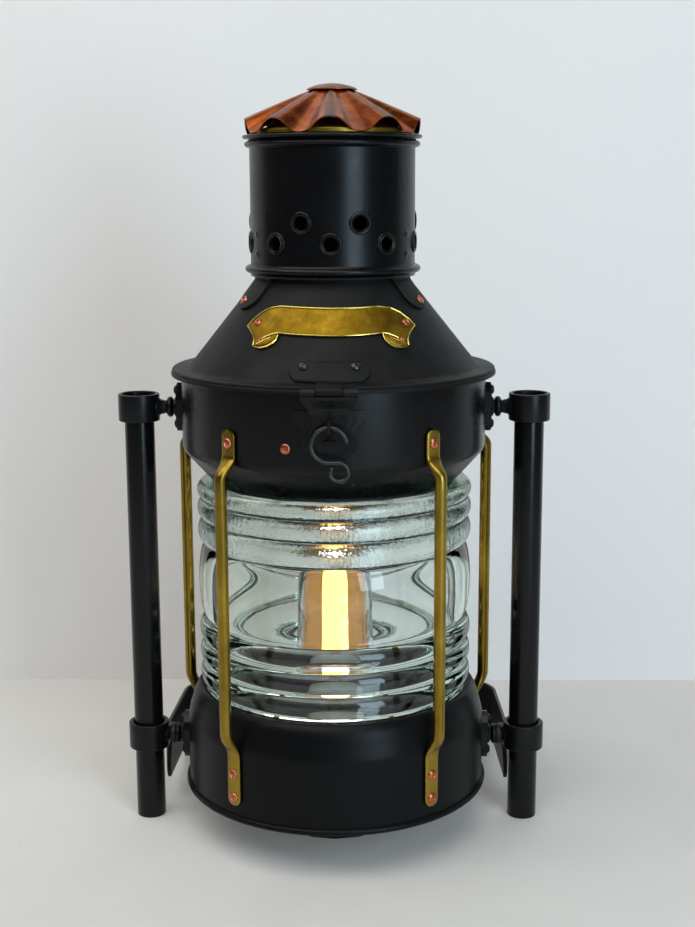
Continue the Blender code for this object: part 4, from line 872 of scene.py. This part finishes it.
def resample(points, count):
    """Evenly spaced points along a line of points."""
    lengths = [0.0]
    for start, end in zip(points, points[1:]):
        lengths.append(lengths[-1] + (Vector(end) - Vector(start)).length)
    made = []
    place = 0
    for step in range(count + 1):
        target = lengths[-1] * step / count
        while place < len(points) - 2 and lengths[place + 1] < target:
            place += 1
        span = lengths[place + 1] - lengths[place]
        made.append(Vector(points[place]).lerp(Vector(points[place + 1]), (target - lengths[place]) / span))
    return made


RIBBON_LENGTH = 130.0


def ribbon_on_cone(work, top, bottom, columns, rows, thickness, waist=0.0, lift=0.3, bow=0.0):
    """A plate between two edges laid on the cone; a waist draws its two ends inward."""
    upper_edge = resample(top, columns)
    lower_edge = resample(bottom, columns)
    outer, inner = [], []
    for column in range(columns + 1):
        line_out, line_in = [], []
        for row in range(rows + 1):
            place = lower_edge[column].lerp(upper_edge[column], row / rows)
            if waist:
                near = math.exp(-(min(column, columns - column) * RIBBON_LENGTH / columns / 9.0) ** 2)
                place.x -= math.copysign(waist * math.sin(math.pi * row / rows) * near, place.x)
            margin = min(row / rows, 1 - row / rows) * (upper_edge[column] - lower_edge[column]).length
            edge = min(margin, min(column, columns - column) * RIBBON_LENGTH / columns)
            rounded_off = thickness * 0.45 * math.exp(-(edge / 0.5) ** 2)
            swell = bow * (1 - (2 * row / rows - 1) ** 2)
            line_out.append(work.verts.new(on_cone(place.x, place.y, lift + thickness - rounded_off + swell)))
            line_in.append(work.verts.new(on_cone(place.x, place.y, lift + max(0, swell - 0.1))))
        outer.append(line_out)
        inner.append(line_in)
    for grid in (outer, inner):
        for line, following in zip(grid, grid[1:]):
            for index in range(rows):
                work.faces.new((line[index], line[index + 1], following[index + 1], following[index]))
    for index in range(columns):
        for edge in (0, rows):
            work.faces.new((outer[index][edge], outer[index + 1][edge], inner[index + 1][edge],
                            inner[index][edge]))
    for index in range(rows):
        for edge in (0, columns):
            work.faces.new((outer[edge][index], outer[edge][index + 1], inner[edge][index + 1],
                            inner[edge][index]))
    return work


work = ribbon_on_cone(bmesh.new(), scroll_top, scroll_bottom, 150, 30, 1.0, 3.0)
border = bmesh.new()


def edge_wire(points, lift, radius=0.62):
    """A raised round edge along a line on the cone."""
    wire(border, [on_cone(point.x, point.y, lift) for point in resample(points, len(points) * 8)],
         radius * MM, 8)


def end_curve(sign, count=12):
    """The hollow end of the plate, from its lower corner to its tip."""
    low, high = Vector((sign * 56.0, 27.5)), Vector((sign * 63.25, 42.6))
    line = []
    for step in range(count + 1):
        share = step / count
        place = low.lerp(high, share)
        place.x -= sign * 3.0 * math.sin(math.pi * share)
        line.append(place)
    return line


edge_wire(scroll_top, 1.35)
edge_wire([point for point in scroll_bottom if abs(point[0]) < 37.0], 1.35)
for sign in (-1, 1):
    edge_wire(end_curve(sign), 1.35)
    curl_top = [(sign * 36.4, 38.4), (sign * 40.0, 37.4), (sign * 45.0, 35.2), (sign * 50.0, 32.2),
                (sign * 54.6, 28.6)]
    curl_low = [(sign * 37.2, 33.4), (sign * 40.4, 30.0), (sign * 44.6, 27.4), (sign * 49.6, 26.0),
                (sign * 54.6, 26.6)]
    ribbon_on_cone(work, curl_top, curl_low, 26, 12, 1.0, lift=0.5, bow=1.3)
    edge_wire(curl_low, 1.5)
    edge_wire([curl_low[0], (sign * 36.2, 36.0), curl_top[0]] + curl_top[1:4], 1.9, 0.5)
    edge_wire([(sign * 52.6, 27.9), (sign * 47.0, 31.4), (sign * 41.5, 34.0)], 2.6, 0.4)
piece("scroll_ribbon", work, PLATE_BRASS, "lid", ["scroll_plate"], sharp=60)
piece("scroll_border", border, EDGE_BRASS, "lid")
for side_mm, slant in ((-53.5, 45.9), (-49.0, 31.0), (55.0, 45.4), (49.7, 31.2)):
    rivet(rivets_lid, on_cone(side_mm, slant, 1.5) / MM, cone_normal(side_mm, slant), 2.9, 1.3, 1.1)
piece("lid_rivets", rivets_lid, RIVET_COPPER, "lid")


# Hasp, hinges, keeper and hook

for node in ("rear_lid_leaf", "rear_drum_leaf", "hasp_leaf", "hasp_lug", "keeper_plate"):
    soften(node, 0.3, IRON)
for node in ("hasp_pin", "rear_hinge_pin"):
    soften(node, 0.2, IRON)
leaf_top = [(-27.6, 8.4), (-26.9, 11.6), (-24.6, 15.0), (-20.6, 17.1), (0.0, 17.3), (20.6, 17.1),
            (24.6, 15.0),
            (26.9, 11.6), (27.6, 8.4)]
leaf_low = [(-27.6, 7.6), (-26.4, 4.8), (-23.2, 1.4), (-10.0, 0.8), (0.0, 0.7), (10.0, 0.8), (23.2, 1.4),
            (26.4, 4.8),
            (27.6, 7.6)]
work = ribbon_on_cone(bmesh.new(), leaf_top, leaf_low, 80, 16, 1.4)
stations = []
for reach, height in ((104.2, 353.6), (105.6, 352.2), (107.4, 351.5), (110.0, 351.3), (117.0, 351.2),
                      (119.0, 350.9),
                      (120.6, 350.0)):
    stations.append(section(Vector((0, -reach, height)) * MM, X_AXIS * (KNUCKLE_HALF * MM),
                            Vector((0, 0.2, 0.7)) * MM, 7, 24))
sweep(work, stations)
revolve(work, rounded([(0, -KNUCKLE_HALF), (KNUCKLE_RADIUS, -KNUCKLE_HALF), (KNUCKLE_RADIUS, KNUCKLE_HALF),
                       (0, KNUCKLE_HALF)], 0.4), 32,
        Matrix.Translation(Vector((0, -HINGE_REACH, HINGE_Z)) * MM) @ Matrix.Rotation(math.pi / 2, 4, "Y"))
piece("hasp_plate", work, LID_PAINT, "lid", ["hasp_upper_leaf"])
foot = bmesh.new()
stations = []
for place in (-4.6, -4.2, 0, 4.2, 4.6):
    half = 0.55 if abs(place) > 4.4 else 0.9
    stations.append(section(Vector((place, -116.0, 313.2)) * MM, Vector((0, half * 1.3, 0)) * MM,
                            Z_AXIS * (half * MM), 4, 16))
piece("lug_foot", sweep(foot, stations), IRON, "hasp")

HOOK_REACH, HOOK_LOOP, HOOK_WIRE = 120.85, 11.8, 1.32
path = []
centre = Vector((0, -HOOK_REACH, 312.15))
for step in range(33):
    turn = math.radians(12 + 258 * step / 32)
    path.append((centre + Vector((math.cos(turn), 0, math.sin(turn))) * HOOK_LOOP) * MM)
tail = Vector((6.4, -HOOK_REACH, 293.85))
for step in range(31):
    turn = math.radians(90 - 300 * step / 30)
    reach = 6.5 - 1.0 * step / 30
    path.append((tail + Vector((math.cos(turn) * reach, -0.25 * step / 30, math.sin(turn) * reach))) * MM)
piece("hook_wire", wire(bmesh.new(), path, HOOK_WIRE * MM, 16), WORN_SHEEN_IRON, "hook", ["s_hook"])


# Lamp inside

turned("stem_tube", rounded([(4.0, 40.2), (6.5, 40.2), (6.5, 88.2), (4.0, 88.2)], 0.4), LAMP_BRASS,
       "case",
       ["lamp_stem"], 40)
holder_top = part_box("lamp_holder")[1][2] / MM
turned("holder_body", rounded([(13.6, holder_top - 26.0), (0, holder_top - 26.0), (0, holder_top - 42.0),
                               (17.0, holder_top - 42.0), (20.5, holder_top - 38.0), (20.5, holder_top - 20),
                               (19.6, holder_top - 19.4), (19.6, holder_top - 17.5),
                               (20.5, holder_top - 17.0),
                               (20.5, holder_top), (13.6, holder_top)], 1.0), PORCELAIN, "case",
       ["lamp_holder"], 64)
soften("gallery", 0.3, LAMP_BRASS)
soften("lamp_cap", 0.5, LAMP_BRASS)
jar = rounded([(27.4, JAR_LOW_Z), (29.2, JAR_LOW_Z), (28.9, 133.0), (28.2, 150.0), (JAR_RADIUS, JAR_HIGH_Z),
               (26.2, JAR_HIGH_Z), (26.4, 150.0), (27.1, 133.0)], 0.7)
turned("jar", jar, JAR_GLASS, "case", ["glass_jar"], 96)
turned("jar_lid", rounded([(10.3, 195.0), (29.5, 195.0), (29.5, 199.0), (10.3, 199.0)], 0.9), DISH_BRASS,
       "case",
       ["jar_cap"], 96)
globe = arc((0, 152.2), (GLOBE_RADIUS, 12.5), -62, 0, 14) + [(GLOBE_RADIUS, 194.6)]
turned("globe", shell(globe, SHEET), AMBER_GLASS, "case", ["amber_globe"], 96)
tube = [(0, LAMP_LOW_Z), (9.2, LAMP_LOW_Z), (LAMP_RADIUS, LAMP_LOW_Z + 1), (LAMP_RADIUS, LAMP_HIGH_Z - 3),
        (9.2, LAMP_HIGH_Z - 1), (7.4, LAMP_HIGH_Z), (0, LAMP_HIGH_Z)]
turned("lamp_light", tube, GLOW, "case", ["lamp_tube"], 64)


# Floor, backdrop and light

def stage_material(name, low, high, scale, speck):
    """A pale, cloudy floor or wall that gives back a little light of its own where it is seen."""
    made = Shade(name)
    cloud = made.mix(made.noise(scale, 6, 0.6), low, high)
    dark = tuple(share * 0.55 for share in low)
    if speck:
        made.colour(made.mix(made.ramp(made.noise(speck, 2, 0.8), (0.68, 0.0), (0.76, 0.35)), cloud, dark))
    else:
        made.colour(cloud)
    made.rough(made.ramp(made.noise(scale * 4, 3), (0.3, 0.65), (0.7, 0.80)))
    made.bump(made.noise(scale * 14, 5, 0.7), 0.12, 0.0012)
    paths = made.tree.nodes.new("ShaderNodeLightPath")
    seen = made.math("MAXIMUM", paths.outputs["Is Camera Ray"],
                     made.math("MAXIMUM", paths.outputs["Is Glossy Ray"],
                               paths.outputs["Is Transmission Ray"]))
    made.tree.links.new(cloud, made.shader.inputs["Emission Color"])
    made.tree.links.new(made.math("MULTIPLY", seen, 0.08), made.shader.inputs["Emission Strength"])
    return made.material


def seen_through_from_behind(material):
    """The backdrop shows only its front, so that it never hides the light from a view behind it."""
    tree = material.node_tree
    geometry = tree.nodes.new("ShaderNodeNewGeometry")
    clear = tree.nodes.new("ShaderNodeBsdfTransparent")
    either = tree.nodes.new("ShaderNodeMixShader")
    tree.links.new(geometry.outputs["Backfacing"], either.inputs[0])
    tree.links.new(tree.nodes["Principled BSDF"].outputs[0], either.inputs[1])
    tree.links.new(clear.outputs[0], either.inputs[2])
    tree.links.new(either.outputs[0], tree.nodes["Material Output"].inputs["Surface"])
    return material


def stage_plane(name, corners, material):
    work = bmesh.new()
    work.faces.new([work.verts.new(corner) for corner in corners])
    mesh = bpy.data.meshes.new(name)
    work.to_mesh(mesh)
    work.free()
    mesh.materials.append(material)
    made = bpy.data.objects.new(name, mesh)
    bpy.context.collection.objects.link(made)


stage_plane("floor", [(-4, -4, 0), (4, -4, 0), (4, 4, 0), (-4, 4, 0)],
            stage_material("pale_floor", (0.60, 0.585, 0.56), (0.71, 0.695, 0.665), 9, 170))
wall_paint = stage_material("pale_wall", (0.72, 0.712, 0.70), (0.77, 0.762, 0.75), 3, 0)
stage_plane("wall", [(-1.3, 0.305, 0), (1.3, 0.305, 0), (1.3, 0.755, 3), (-1.3, 0.755, 3)],
            seen_through_from_behind(wall_paint))


def area_light(name, place, target, size, energy, colour):
    data = bpy.data.lights.new(name, "AREA")
    data.shape = "RECTANGLE"
    data.size, data.size_y = size
    data.energy = energy
    data.color = colour
    made = bpy.data.objects.new(name, data)
    bpy.context.collection.objects.link(made)
    made.location = place
    made.rotation_euler = (Vector(target) - Vector(place)).to_track_quat("-Z", "Y").to_euler()


area_light("overhead", (-0.55, -0.75, 1.95), (-0.1, 0.05, 0.1), (3.0, 1.7), 38, (1.0, 0.985, 0.95))
area_light("window", (1.0, -1.65, 0.75), (0, 0, 0.3), (0.7, 1.3), 20, (0.64, 0.84, 1.0))
world = bpy.data.worlds.new("world")
bpy.context.scene.world = world
world.use_nodes = True
world.node_tree.nodes["Background"].inputs["Color"].default_value = (0.80, 0.82, 0.85, 1)
paths = world.node_tree.nodes.new("ShaderNodeLightPath")
through = world.node_tree.nodes.new("ShaderNodeMath")
through.operation = "MULTIPLY_ADD"
through.inputs[1].default_value = 0.65
through.inputs[2].default_value = 0.12
seen = world.node_tree.nodes.new("ShaderNodeMath")
seen.operation = "MAXIMUM"
world.node_tree.links.new(paths.outputs["Is Transmission Ray"], seen.inputs[0])
world.node_tree.links.new(paths.outputs["Is Camera Ray"], seen.inputs[1])
world.node_tree.links.new(seen.outputs[0], through.inputs[0])
world.node_tree.links.new(through.outputs[0], world.node_tree.nodes["Background"].inputs["Strength"])
bpy.context.scene.view_settings.view_transform = "Standard"
